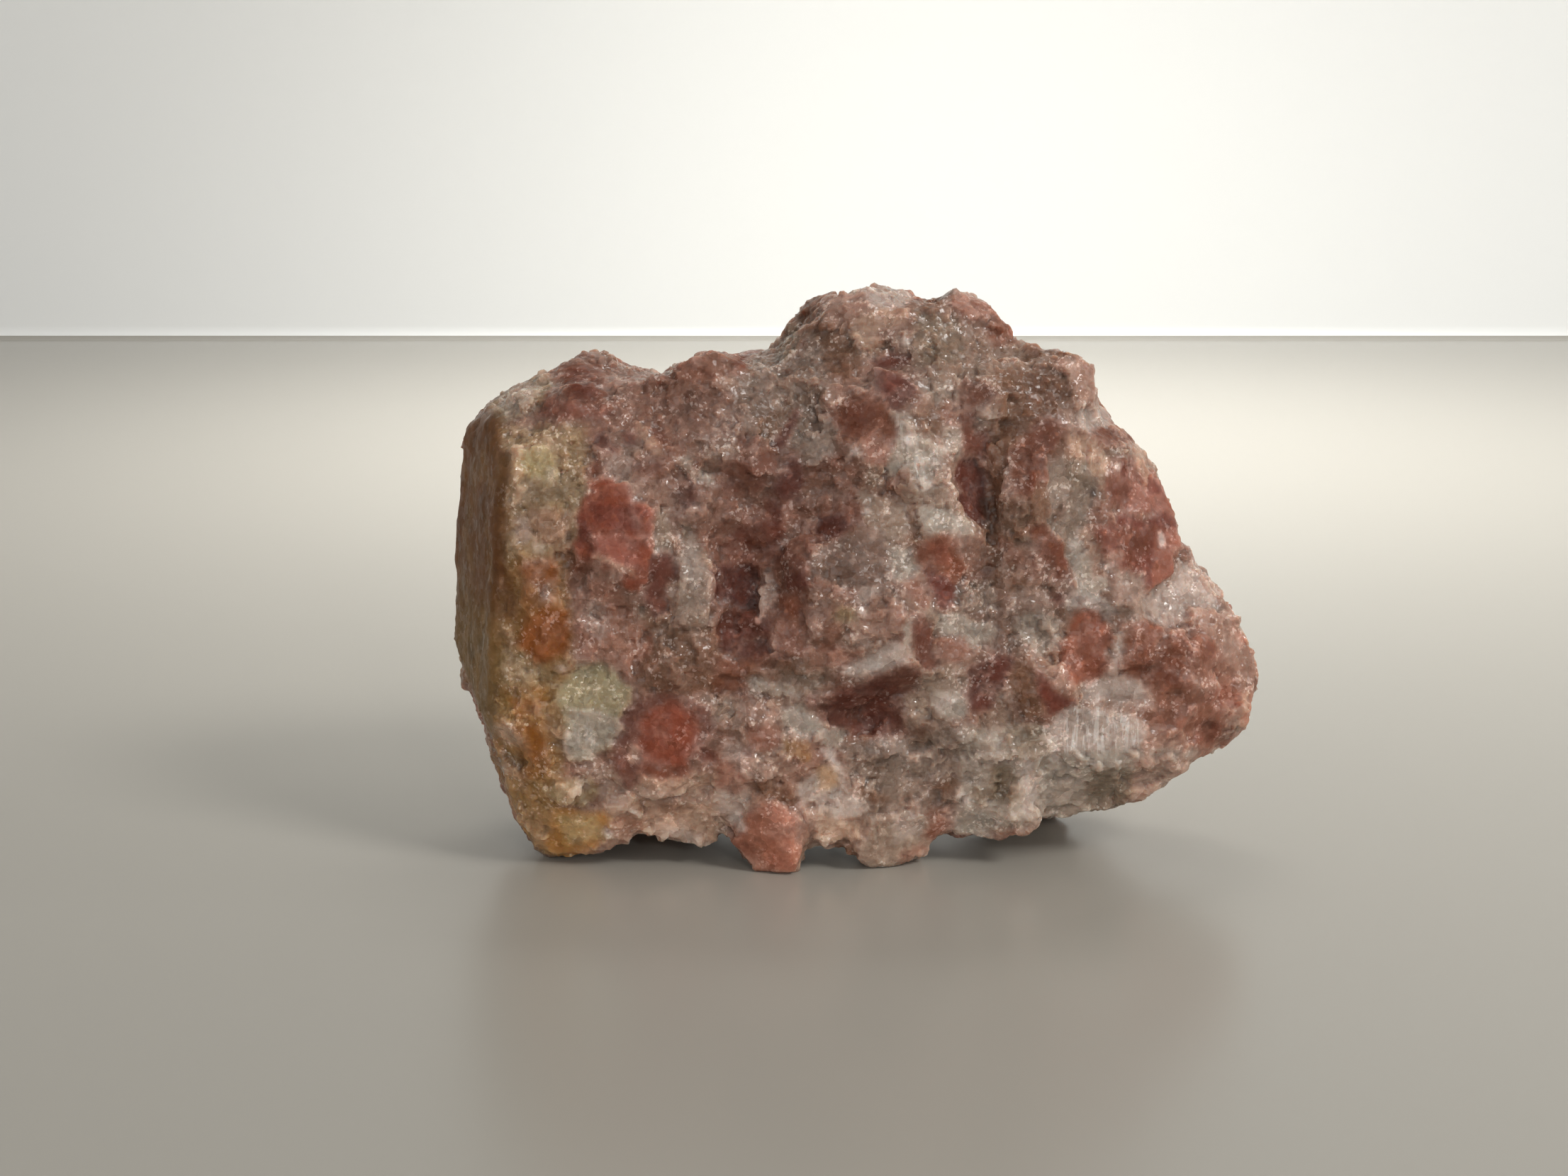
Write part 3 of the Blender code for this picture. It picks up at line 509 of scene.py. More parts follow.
    ("lilac", 0.6, 0.3, [(-9.6, 32.4), (-8, 31.6), (-7.9, 29.6), (-8.7, 29.4), (-9.8, 30)]),
    ("maroon", 0.7, 0.2, [(-8.2, 30), (-6.7, 29.9), (-6.9, 28.9), (-7.9, 29)]),
    ("deepMaroon", 0.8, 0.3, [(-5, 28.4), (-4.2, 28.7), (-3.8, 28), (-3.6, 26.5), (-4, 25.2), (-5.5, 25.6),
        (-6.2, 26.6), (-5, 27.4)]),
    ("grey", 0.85, 0.2, [(-3.9, 30.2), (-2.2, 30.2), (-1.4, 29.5), (-1.5, 28.9), (-3.2, 27.6), (-3.9, 28.3),
        (-4.4, 29.4)]),
    ("white", 0.75, 0.12, [(-0.7, 29.3), (-0.1, 29.2), (0.3, 28.5), (0, 28.5), (-0.6, 28.9)]),
    ("white", 0.5, 0.2, [(-0.9, 28.5), (-0.4, 28.6), (-0.4, 28.2), (-0.9, 28.2)]),
    # white cleavage in the middle of the top; its small white patches are partly the cleavage's white and
    # partly painted glint
    ("lightGrey", 0.9, 0.2, [(1.9, 31.7), (2.7, 31.3), (3.4, 30.9), (3.9, 30), (4.8, 29.7), (6, 28.8),
        (5.6, 28), (5.2, 27), (4.9, 26), (4, 26.2), (3.9, 27.4), (3, 27.6), (2.2, 27), (1.9, 27.4),
        (2.1, 28.5), (2.6, 29.5), (2.8, 30.4)]),
    ("white", 0.9, 0.15, [(3.2, 30.2), (3.8, 30), (3.9, 29.3), (3.4, 29.3)]),
    ("white", 0.9, 0.15, [(3.9, 28.3), (4.6, 28.3), (4.7, 27.7), (4.1, 27.7)]),
    ("white", 0.9, 0.15, [(4.2, 26.9), (5.1, 27), (5.2, 26.3), (4.4, 26.1)]),
    ("white", 0.5, 0.25, [(4.8, 29.4), (5.6, 29.2), (5.8, 28.1), (5, 27.8)]),
    ("lightGrey", 0.5, 0.5, [(4, 33.6), (6.6, 33.6), (6.9, 31.3), (5.6, 32), (4.4, 32.4)]),
    ("brown", 0.7, 0.25, [(3.9, 31.4), (5, 31.4), (5.9, 30.7), (5.7, 30), (4.4, 30), (3.6, 30.7)]),
    ("salmon", 0.5, 0.3, [(5.7, 32.4), (6.8, 32), (7, 31), (5.6, 30.9)]),
    ("darkRust", 0.8, 0.2, [(6.7, 33.2), (7.4, 33.7), (8.4, 33.5), (9.4, 32.8), (8.8, 32.3), (7.6, 31.8),
        (6.8, 32.2)]),
    ("maroon", 0.9, 0.2, [(7, 31.6), (7.9, 31.5), (7.9, 30.6), (7.7, 30.1), (8.9, 30.4), (8.9, 29.4),
        (8.5, 28.2), (7.4, 28.8), (6.8, 29.4), (6.9, 30.6)]),
    ("lightGrey", 0.5, 0.3, [(8, 31.8), (8.9, 31.8), (9.2, 31), (8.8, 30.4), (8, 30.6)]),
    ("darkMaroon", 0.95, 0.12, [(7, 28), (7.6, 28.4), (8.1, 28), (8.6, 27.2), (8.7, 26), (9, 24.5),
        (8.6, 23.6), (7.7, 24.4), (7, 25.6), (6.7, 27)]),
    ("lightGrey", 0.75, 0.3, [(5.6, 30.4), (6.9, 30.6), (7.2, 29.2), (6.8, 28.2), (5.8, 28.8)]),
    ("greyBeige", 0.6, 0.3, [(0.6, 27.9), (1.6, 27.8), (1.9, 26.2), (0.6, 26.2)]),
    # dark red hollow left of the middle
    ("brownPink", 0.6, 0.5, [(-9.5, 26), (-6.2, 26.2), (-6.2, 24.2), (-7.6, 24), (-8.6, 22.8),
        (-9.6, 22.2)]),
    ("maroon", 0.9, 0.2, [(-7.6, 23.9), (-5.6, 24.3), (-5, 25.2), (-4.9, 22.3), (-7.2, 21.9),
        (-8.7, 22.8)]),
    ("darkMaroon", 0.5, 0.3, [(-5.9, 25.2), (-5.1, 25.4), (-5.1, 22.6), (-5.8, 22.6)]),
    ("deepMaroon", 0.8, 0.25, [(-2.6, 24.4), (-1, 24.5), (-0.4, 24), (-0.9, 23.1), (-2.2, 22.9),
        (-2.9, 23.3)]),
    ("pink", 0.6, 0.15, [(-3.6, 24.6), (-3.1, 24.5), (-3.1, 23.9), (-3.5, 24)]),
    ("pink", 0.6, 0.12, [(-5.3, 22.6), (-5, 22.9), (-4.4, 22.8), (-4.9, 22.6), (-5.1, 22.3)]),
    ("maroon", 0.6, 0.3, [(-8.7, 22.3), (-3.2, 21.8), (-3.4, 20.6), (-6.4, 20.6), (-9.4, 20.8)]),
    ("deepMaroon", 0.85, 0.2, [(-9.5, 21), (-8.5, 20.9), (-7.3, 21), (-6.6, 20.4), (-6.9, 19.6), (-7, 18),
        (-7.6, 17.8), (-8.6, 18.3), (-9.5, 18.5)]),
    ("darkMaroon", 0.8, 0.2, [(-4.9, 20.4), (-3.5, 20.7), (-3.2, 19.3), (-4.2, 18.9), (-4.7, 19.4)]),
    ("rust", 0.8, 0.3, [(-6, 18.9), (-4, 19.2), (-3.5, 18.3), (-3.9, 17.2), (-5.5, 17.3)]),
    ("darkMaroon", 0.7, 0.3, [(-9.5, 17.7), (-7.2, 17.8), (-5.8, 16.9), (-5.8, 15), (-7.2, 14.5),
        (-9.4, 15)]),
    ("lilac", 0.98, 0.1, [(-6.35, 20.7), (-6, 20.4), (-5.7, 19.5), (-5.4, 18.9), (-5.9, 18.1), (-6.3, 17.6),
        (-6.4, 16.9), (-6.85, 16.9), (-6.85, 18.3), (-6.7, 19.2), (-6.1, 19.6)]),
    ("salmon", 0.9, 0.2, [(-5.3, 17.2), (-4, 17), (-3.3, 16.1), (-3.1, 15.2), (-3.6, 14.6), (-5, 14.8),
        (-5.7, 15.3), (-5.5, 16.2)]),
    ("pink", 0.6, 0.12, [(-5.8, 16.6), (-5.4, 16.8), (-5.3, 15.3), (-5.7, 15.1)]),
    ("rust", 0.7, 0.4, [(-9.8, 14.6), (-7.5, 14.2), (-7.3, 12.2), (-9.8, 11.8)]),
    ("darkBrown", 0.7, 0.2, [(-6.2, 14.4), (-5.2, 14.3), (-5.2, 13.2), (-6.1, 13.2)]),
    # grey dome and what hangs under it
    ("rosyGrey", 1.0, 0.2, [(-2.6, 22.2), (-1.5, 22.9), (-0.4, 23.3), (0.2, 24.1), (0.7, 22.9), (1.7, 22.6),
        (2.2, 21.8), (2.6, 20.3), (2, 19.2), (0, 19.3), (-1.8, 19.8), (-3.1, 20.4), (-3.3, 21.3)]),
    ("lightGrey", 0.9, 0.25, [(2, 22.3), (3.9, 22.1), (4.1, 20.8), (3.2, 19.7), (2.5, 19.9), (2.2, 21)]),
    ("greyBeige", 0.85, 0.3, [(0, 26.2), (1, 25.9), (3.4, 25.4), (3.4, 23.4), (3.3, 22.6), (2, 22.3),
        (1.6, 23.4), (0.5, 23.9)]),
    ("white", 0.6, 0.12, [(0.5, 25.1), (0.9, 25), (0.8, 24.6), (0.5, 24.7)]),
    ("brown", 0.75, 0.25, [(3.4, 24.9), (4.1, 25.2), (4.1, 23.6), (4.6, 22.8), (4.1, 22.2), (3.4, 22.4)]),
    ("lightGrey", 0.95, 0.15, [(4.2, 24.9), (5.2, 25.2), (6, 24.7), (7.1, 24.4), (8, 23.6), (8, 23),
        (6, 23.2), (5, 23), (4.4, 23.3), (4.1, 24.2)]),
    ("rust", 0.95, 0.2, [(4, 22.2), (4.9, 22.9), (5.8, 23.2), (6.8, 22.6), (7.1, 21.6), (7.3, 20.6),
        (6.9, 19.8), (5, 20.6), (4.3, 20.4), (4.1, 21.3)]),
    ("pinkRed", 0.4, 0.3, [(5, 22.4), (6.2, 22.4), (6.3, 21), (5.2, 21.2)]),
    ("brownPink", 0.8, 0.25, [(7, 22.9), (8.5, 22.9), (8.6, 21.6), (8, 20.3), (7.5, 19.8), (7.2, 21.2)]),
    ("darkBrown", 0.75, 0.4, [(8.2, 25.5), (9.6, 25.6), (9.9, 20.4), (8.4, 20.2), (8.8, 22.4)]),
    ("darkRed", 1.0, 0.12, [(4.35, 20.6), (4.8, 20.8), (5.9, 20.1), (7.2, 19.7), (7, 19.1), (6.6, 18.4),
        (6.3, 17.6), (5.5, 18.2), (5, 19.3)]),
    ("salmon", 0.85, 0.3, [(3.2, 19.7), (4.3, 20.2), (4.8, 19.4), (5.2, 18.5), (4.6, 17.7), (3.8, 18.4)]),
    ("brown", 0.7, 0.35, [(-3.6, 19.2), (-0.5, 18.7), (-1.5, 18), (-3, 18.2)]),
    ("cream", 0.5, 0.25, [(-1.8, 17.8), (-0.3, 18.1), (0, 17.2), (-1.2, 16.9)]),
    ("pale", 0.8, 0.2, [(-0.5, 18.6), (0.6, 19.7), (1.5, 19.2), (1.2, 18.8), (0.6, 18.2)]),
    ("white", 0.85, 0.1, [(0.1, 17.8), (0.6, 17.9), (0.6, 17.5), (0.2, 17.5)]),
    ("pink", 0.75, 0.4, [(-0.6, 17), (1, 17.9), (2.3, 18.4), (3.2, 17.4), (3.2, 16.1), (0.8, 15.7),
        (-0.5, 15.9)]),
    ("rust", 0.6, 0.35, [(-2.9, 16.9), (-0.8, 16.8), (-1.2, 15.5), (-1.8, 14.7), (-3.1, 14.8)]),
    ("salmon", 0.6, 0.4, [(-3.4, 15.4), (0.5, 15.2), (0.6, 14.3), (-3.2, 13.6)]),
    ("maroon", 0.9, 0.15, [(4, 17.7), (4.8, 17.5), (5.1, 16.2), (5.3, 15), (5.9, 14.2), (5.2, 13.4),
        (4.4, 14.1), (3.8, 15.2), (3.8, 16.6)]),
    ("lightGrey", 0.8, 0.15, [(3.2, 17.2), (3.8, 17.4), (3.7, 15.2), (4, 14.4), (3.3, 14.4)]),
    ("lightGrey", 0.85, 0.2, [(5.3, 17), (6.2, 17.7), (7.2, 17.7), (8.2, 17.2), (9.4, 17), (9.5, 15.8),
        (8, 15.2), (7.1, 16), (5.6, 16.1)]),
    ("grey", 0.8, 0.35, [(6.6, 19.6), (9.6, 20.2), (9.6, 17.6), (7, 17.9)]),
    ("white", 0.7, 0.1, [(8.5, 18.6), (8.7, 18.6), (8.5, 18.1), (8.35, 18.1)]),
    ("salmon", 0.8, 0.25, [(5.3, 16), (7.4, 15.8), (8, 14.9), (7, 14), (5.6, 14.5)]),
    ("pale", 0.8, 0.2, [(-1, 14.1), (0.2, 14.3), (1, 14.9), (2, 15.4), (3, 15.6), (3.8, 15.2), (3.6, 14.2),
        (2.6, 13.7), (1.8, 13.4), (1, 13.5), (0.2, 13.1), (-0.9, 13.3)]),
    ("white", 0.5, 0.2, [(0.4, 14.3), (1.6, 14.5), (2.2, 13.8), (1.2, 13.6)]),
    ("maroon", 0.9, 0.3, [(1, 13.3), (2.4, 13.6), (3.4, 14.1), (4.6, 13.4), (4.3, 12.3), (3, 11.8),
        (-1, 11.9), (-3.4, 12), (-3.7, 11.3), (-2, 10.4), (0, 11.4)]),
    ("darkMaroon", 0.75, 0.25, [(-1.2, 12.2), (1.4, 12.9), (3.2, 12.2), (3.4, 10.4), (3.1, 9.1),
        (-0.3, 8.9), (-0.8, 9.6), (-1.7, 9.3), (-2.4, 10.6), (-1.4, 11.6)]),
    ("darkRed", 0.5, 0.4, [(0.6, 11.8), (2.8, 11.6), (2.6, 10), (0.8, 9.8)]),
    ("greyBeige", 0.7, 0.35, [(4.6, 13.4), (7.4, 14), (7.6, 12.2), (5.4, 12), (4.4, 12.4)]),
    ("lightGrey", 0.7, 0.3, [(-7.6, 13.1), (-6.2, 13.3), (-5.6, 12.6), (-4, 12.4), (-4, 11.8),
        (-7.4, 11.9)]),
    # low middle
    ("lightGrey", 0.95, 0.15, [(-5.2, 10.8), (-4, 11.2), (-3.1, 10.6), (-2.3, 10.1), (-1.8, 9.5),
        (-2.6, 8.9), (-3.5, 8.7), (-4.5, 9.3), (-5.2, 9.8)]),
    ("pale", 0.5, 0.3, [(-5, 10.8), (-3.6, 10.9), (-2.8, 9.8), (-4.2, 9.6)]),
    ("lightGrey", 0.8, 0.15, [(-2.4, 9.3), (-1, 9.5), (-0.6, 9.1), (-0.8, 8.5), (-1.4, 8.1), (-2.4, 8.1),
        (-3, 8.6)]),
    ("pink", 0.75, 0.3, [(-8.2, 11), (-5.2, 11), (-5.2, 10), (-8.2, 9.9)]),
    ("salmon", 0.95, 0.2, [(-7.9, 9.6), (-6, 9.8), (-5.2, 9.5), (-5.3, 8.2), (-6, 7.8), (-7.2, 8),
        (-7.5, 8.8)]),
    ("lilac", 0.8, 0.2, [(-9.4, 8.7), (-8.2, 8.5), (-7.4, 8), (-7.8, 7.1), (-9.2, 7.1)]),
    ("darkMaroon", 0.8, 0.12, [(-7.7, 8.2), (-7.2, 8.1), (-7.25, 7.6), (-7.7, 7.5)]),
    ("darkBrown", 0.8, 0.2, [(-7.5, 7.1), (-6.5, 6.5), (-6.8, 5.5), (-7.4, 6)]),
    ("pink", 0.75, 0.3, [(-6.4, 7.6), (-3.2, 7.4), (-2.8, 6), (-3.8, 5.2), (-5.6, 5.1), (-6.3, 6.2)]),
    ("beigeOrange", 0.6, 0.3, [(-5, 8.7), (-3.2, 8.4), (-3.2, 7.4), (-5, 7.5)]),
    ("pale", 0.95, 0.2, [(-4, 5.5), (-2.6, 6.6), (-1.6, 7.2), (-1, 6.6), (-0.8, 5.2), (-0.6, 4.4),
        (-1.9, 4.3), (-2.4, 3.7), (-3.5, 4.2), (-4.1, 4.8)]),
    ("beigeOrange", 0.6, 0.3, [(-2.8, 6.8), (-1.3, 6.8), (-1.2, 5.1), (-2.5, 5)]),
    ("white", 0.75, 0.15, [(-2.5, 8), (-1.5, 7.9), (-1.2, 7.1), (-1.1, 6.2), (-1.5, 6.1), (-1.9, 7)]),
    ("salmon", 0.75, 0.3, [(-9.6, 7.6), (-8.6, 6.7), (-7.3, 5.3), (-8.4, 4.5), (-9.8, 5.4)]),
    ("brown", 0.6, 0.4, [(-7.3, 5.6), (-4.6, 5.6), (-4.2, 4.2), (-7, 3.9)]),
    ("redTip", 0.85, 0.3, [(-7.6, 3.2), (-6.7, 4.1), (-5.5, 4.1), (-4.8, 3.6), (-4.1, 2.9), (-4.3, 1.6),
        (-4, 0.7), (-4.4, -0.6), (-5, -1.8), (-6, -1.8), (-7.3, -0.7), (-9, 0), (-8.8, 1.4), (-7.8, 1.6)]),
    ("red", 0.2, 0.5, [(-6.8, 1.8), (-4.6, 1.8), (-4.8, -1.2), (-6.4, -1)]),
    ("maroon", 0.6, 0.25, [(-8.7, 1.5), (-7.6, 1.3), (-7.1, 0.6), (-8, 0.1), (-8.9, 0.4)]),
    ("white", 0.7, 0.12, [(-8.9, 2.7), (-8.5, 3.5), (-7.9, 3.4), (-7.5, 2.6), (-7.5, 2), (-8.2, 2.2),
        (-8, 2.9), (-8.5, 2.6)]),
    ("greyBeige", 0.7, 0.4, [(-9.8, 3), (-8.9, 3), (-8.9, 0.4), (-9.8, 0.4)]),
    ("pink", 0.6, 0.3, [(-4.1, 3.1), (-2.9, 3.3), (-2.9, 1.4), (-4, 1.2)]),
    ("palePink", 0.7, 0.25, [(-3, 3.3), (-1.8, 3.2), (-0.1, 3), (0.5, 2.2), (0.5, 1.4), (-1, 1.3),
        (-2.8, 1.4)]),
    ("pale", 0.9, 0.2, [(-1.9, 4.4), (-0.9, 5.1), (0.2, 4.6), (0.9, 4), (0.2, 3.1), (-0.2, 3),
        (-1.5, 3.1)]),
    ("darkBrown", 0.85, 0.1, [(-1.8, 1.3), (-0.4, 1.5), (-0.4, 1.25), (-1.7, 1.1)]),
    ("brown", 0.6, 0.3, [(-3.2, 1.1), (0.3, 1), (0.3, -0.4), (-3.2, 0)]),
    ("brown", 0.75, 0.25, [(0, 5.6), (1, 5.5), (2, 4.7), (2.4, 4), (1.2, 4.3), (0.1, 4.9)]),
    ("lightGrey", 0.6, 0.15, [(0.6, 5.6), (1.4, 5.5), (1.4, 5), (0.7, 4.9)]),
    ("brown", 0.75, 0.3, [(5, 5.2), (6.6, 6.1), (7.1, 5.9), (6.6, 4.8), (5, 4.7)]),
    ("darkRust", 0.4, 0.25, [(5.6, 5.4), (6.5, 5.4), (6.4, 4.8), (5.7, 4.8)]),
    ("brown", 0.5, 0.3, [(2.9, 4.7), (4, 4.7), (3.8, 3.9), (3.1, 3.8)]),
    ("brown", 0.5, 0.3, [(4.2, 9.5), (4.9, 9.5), (4.8, 8.5), (4.2, 8.6)]),
    ("lightGrey", 0.98, 0.12, [(5, 11.5), (5.6, 12.2), (7.2, 12.1), (7.7, 11.3), (7.6, 10.6), (7.2, 10),
        (6.2, 10.2), (5.3, 10.9)]),
    ("pale", 0.7, 0.25, [(5.1, 11.5), (5.8, 12.1), (7, 11.6), (6.4, 10.8), (5.5, 10.9)]),
    ("greyBeige", 0.7, 0.3, [(3.4, 10.8), (4.4, 11.5), (5.1, 10.9), (5.8, 10.4), (5.2, 9.8), (3.4, 9.5)]),
    ("pale", 0.55, 0.3, [(1.2, 8.9), (3.6, 8.8), (3.5, 8), (1.4, 8.1)]),
    ("white", 0.7, 0.1, [(1.7, 8.9), (2, 8.9), (1.9, 8.3), (1.7, 8.3)]),
    ("olive", 0.6, 0.3, [(7.9, 5.3), (9.3, 5.2), (9.2, 3.7), (8.2, 3.6)]),
    ("greyBeige", 0.9, 0.25, [(0.8, 3.1), (2, 3.2), (4.8, 3.7), (5.2, 2.8), (4.9, 1.6), (5.6, 1.6),
        (5, 0.8), (3.6, 0), (2.8, -0.5), (1.1, -0.4), (0.3, 0.3), (0.4, 1.4), (1, 2)]),
    ("pale", 0.6, 0.3, [(2.7, 3.1), (4.9, 3.5), (4.8, 2), (4, 1.4), (2.6, 1.2)]),
    ("salmon", 0.6, 0.3, [(3, 0.4), (5.2, 1.3), (5.2, 0.6), (3.2, -0.4)]),
    ("rust", 0.95, 0.12, [(4.8, 1.7), (5.4, 2.6), (6.1, 3.1), (6.7, 2.6), (6.2, 2), (5.4, 1.3)]),
    ("lightGrey", 0.8, 0.3, [(7, 3.2), (7.6, 3.9), (9.4, 3.8), (9.5, 1.2), (8, 1.4), (6.9, 2)]),
    # right shoulder
    ("lightGrey", 0.8, 0.25, [(10.9, 36.7), (11.6, 37), (12.4, 36.6), (12, 35.9), (11, 35.9)]),
    ("brown", 0.8, 0.4, [(11.2, 36), (13.6, 36.2), (14.9, 35.2), (13, 34.7), (11.2, 35)]),
    ("pink", 0.8, 0.25, [(13.6, 34.7), (14.9, 35.1), (15.5, 34.3), (15.8, 33), (15.6, 32), (15, 32.2),
        (14.3, 33.5)]),
    ("salmon", 0.6, 0.2, [(13, 35.1), (13.6, 35.1), (14.2, 34.3), (13.6, 34.3)]),
    ("brown", 0.5, 0.2, [(13.7, 33.6), (14.3, 33.4), (15, 32.2), (14.3, 32.2), (13.6, 32.8)]),
    ("darkRust", 0.85, 0.3, [(12.1, 31.2), (13.4, 31.3), (14.2, 31), (14.1, 30.2), (13.5, 29.2),
        (12.8, 28.4), (12.6, 26.6), (11.6, 25.6), (9.7, 25.8), (10, 28.6), (11.4, 30)]),
    ("darkRust", 0.45, 0.5, [(12.3, 31), (13.6, 30.9), (12.6, 28), (11.4, 26.6), (10.6, 28.4)]),
    ("darkBrown", 0.5, 0.4, [(9.3, 31), (11.5, 31.4), (11.2, 30.1), (9.5, 29.6)]),
    ("lilac", 0.7, 0.4, [(13.7, 32.2), (14.9, 31.2), (14.6, 30), (13.9, 30.4)]),
    ("pale", 0.85, 0.25, [(14.6, 31), (15.3, 31.9), (16.1, 31.9), (16.9, 31.2), (16.9, 30.4), (16, 30.2),
        (15, 30.1)]),
    ("darkRust", 0.9, 0.12, [(15.6, 30), (16, 30.5), (16.9, 30.2), (18.6, 29.5), (17.4, 29.3), (16.7, 28.9),
        (16.2, 29.3)]),
    ("palePink", 0.75, 0.35, [(14, 29.8), (15.6, 30), (16.6, 28.8), (17.4, 28.2), (16.8, 27.2), (16, 27),
        (15, 28.2), (14.2, 28.5)]),
    ("grey", 0.95, 0.25, [(12.8, 28), (13.6, 28.6), (15.6, 28.2), (15.8, 27.1), (16.3, 26.5), (16, 25.5),
        (15.5, 24.5), (15.2, 23.2), (14.4, 22.9), (13.7, 23.1), (13, 24), (13.2, 25), (12.8, 26.2)]),
    ("olive", 0.5, 0.4, [(14.4, 28.3), (15.6, 28), (15.6, 26.8), (14.6, 26.2), (14.1, 27.2)]),
    ("darkBrown", 0.85, 0.15, [(13.3, 24.2), (13.6, 25.2), (14.2, 25.1), (14.2, 24.5), (13.7, 24.1)]),
    # painted shade in a small pit
    ("black", 0.95, 0.12, [(15.7, 26.2), (16.1, 26.2), (16.1, 25.85), (15.8, 25.85)]),
    ("pinkRed", 0.65, 0.4, [(17.3, 28.6), (19.6, 28.2), (20.8, 26.8), (21.6, 24.6), (20.2, 24.4),
        (18.2, 24.8), (16.6, 26.2), (16.8, 27.2)]),
    ("maroon", 0.7, 0.3, [(17, 26.6), (18.6, 26.6), (18.4, 25.2), (17, 25.2)]),
    ("darkRed", 0.8, 0.15, [(17.6, 28), (18.2, 28.3), (18.9, 28.3), (18.4, 27.5), (18.2, 26.9),
        (17.8, 27.3)]),
    ("darkRed", 0.75, 0.2, [(19.4, 26.9), (20.3, 26.8), (20.6, 26), (19.5, 25.9)]),
    ("palePink", 0.7, 0.15, [(18.4, 29.4), (19.2, 28.7), (19.9, 27.9), (19.6, 27), (19.4, 26.2),
        (19.2, 27.2), (18.6, 28.6)]),
    ("white", 0.6, 0.12, [(17.3, 28.1), (17.6, 28), (17.6, 27.6), (17.3, 27.6)]),
    ("darkRust", 0.95, 0.2, [(11.2, 24), (12, 23.6), (12.9, 23.8), (13.3, 23), (14.1, 22.4), (14.5, 21.6),
        (14.5, 20.4), (14.2, 20), (13.4, 20), (12.8, 20.8), (12.3, 21.6), (11.8, 22.8)]),
    ("salmon", 0.5, 0.3, [(9.7, 23.2), (12, 21.5), (13, 20.4), (12.6, 19.9), (11.2, 20.9), (9.6, 22.2)]),
    ("brown", 0.75, 0.4, [(9.5, 21.4), (11.5, 20.4), (12.2, 19.3), (10.4, 18.9), (9.4, 19.2)]),
    ("lightGrey", 0.9, 0.25, [(14.5, 22.9), (15.1, 23), (15.3, 22.3), (15.8, 21.6), (16.2, 20.2),
        (17.1, 20.2), (17.3, 19.5), (16.2, 18.8), (15, 18.9), (14.8, 20.4), (14.4, 21.6)]),
    ("white", 0.5, 0.15, [(14.5, 22.8), (15.2, 22.7), (15.1, 22.1), (14.5, 22.1)]),
    ("white", 0.7, 0.25, [(14.2, 18.8), (14.8, 19.2), (16.4, 19.1), (17.2, 18.6), (18, 18.2), (17.4, 17.3),
        (16.2, 17.7), (15.2, 18), (14.3, 17.8)]),
    ("lilac", 0.7, 0.35, [(10.2, 18.8), (11.5, 19.3), (13, 19.3), (13.4, 18.6), (12.5, 17.5), (11, 17),
        (10.1, 17.6)]),
    ("deepMaroon", 0.9, 0.12, [(13.4, 18.9), (13.8, 19.2), (14.2, 19), (14.2, 18.3), (13.7, 18),
        (13.4, 18.4)]),
    ("lightGrey", 0.7, 0.4, [(11.2, 17.4), (12.6, 17.9), (13.8, 17.2), (14.2, 16.2), (13.4, 15),
        (12.6, 14.5), (11.4, 15.5), (10.7, 16.6)]),
    # red crystal on the right, and its sparkle as a painted highlight
    ("darkRed", 0.9, 0.2, [(16.1, 23.5), (17.3, 23.9), (17.3, 24.5), (18.6, 24.6), (19.2, 24.2),
        (20.2, 24.4), (20.7, 24.9), (21.5, 24.1), (22, 23.6), (22.3, 22.9), (22.1, 22.2), (21.6, 21.6),
        (21.9, 21.1), (21.7, 20.4), (21, 19.9), (20.3, 19.3), (20.1, 18.8), (19.8, 19.4), (19.2, 20.2),
        (18.2, 20.6), (17, 21), (16.4, 22.4)]),
    ("darkRust", 0.7, 0.25, [(16.3, 23.3), (17.8, 23.7), (19.2, 23.5), (20.4, 23.9), (20, 22.6),
        (19.4, 21.4), (18, 20.9), (17.9, 21.8), (16.9, 22.5), (16.4, 22.1)]),
    ("copper", 0.7, 0.3, [(20.3, 23.8), (22, 23.5), (22.2, 22.3), (21.9, 20.9), (20.7, 19.8), (20, 19.4),
        (20.1, 21.4)]),
    ("pink", 0.75, 0.15, [(16.8, 22.1), (17.9, 21.9), (17.9, 21.3), (17.2, 21), (16.8, 21.4)]),
    ("lilac", 0.8, 0.3, [(17.2, 21), (18.6, 20.4), (19.6, 20), (19.9, 18.8), (18.6, 18.1), (17.4, 18.3),
        (17.4, 19.6)]),
    ("maroon", 0.7, 0.12, [(17.3, 20.7), (17.5, 19.9), (17.3, 19.6), (17.1, 20.2)]),
    ("copper", 0.6, 0.25, [(20.8, 25.8), (21.6, 24.4), (20.9, 24.2), (20.4, 25.2)]),
    ("pale", 0.8, 0.25, [(20.1, 19.3), (21.6, 20.3), (22.3, 21.5), (23.4, 21.3), (24.2, 20.5), (24.9, 19.3),
        (25.2, 17.9), (24.3, 17.5), (23, 17.4), (21.5, 16.7), (20.2, 17.1), (19.6, 18.4)]),
    ("pink", 0.95, 0.3, [(22.8, 18), (24.4, 18), (25.2, 17.5), (26.4, 16.6), (27.4, 15.8), (27.6, 14),
        (27.4, 13), (27, 12), (26.3, 12.3), (25.9, 13.6), (25.2, 15), (24.6, 16), (23.6, 16.6),
        (22.6, 17)]),
    ("redTip", 0.5, 0.2, [(25.9, 16.9), (27.4, 15.8), (27.3, 15.3), (26.2, 16.1)]),
    ("rust", 0.85, 0.4, [(18.7, 16.9), (20.3, 17.2), (20.6, 16.4), (22.3, 15.9), (24.6, 15.9), (25, 15.2),
        (24.4, 14.2), (23.6, 13.6), (23, 12), (20.6, 12.3), (19.5, 12.7), (18.2, 14), (18.4, 15)]),
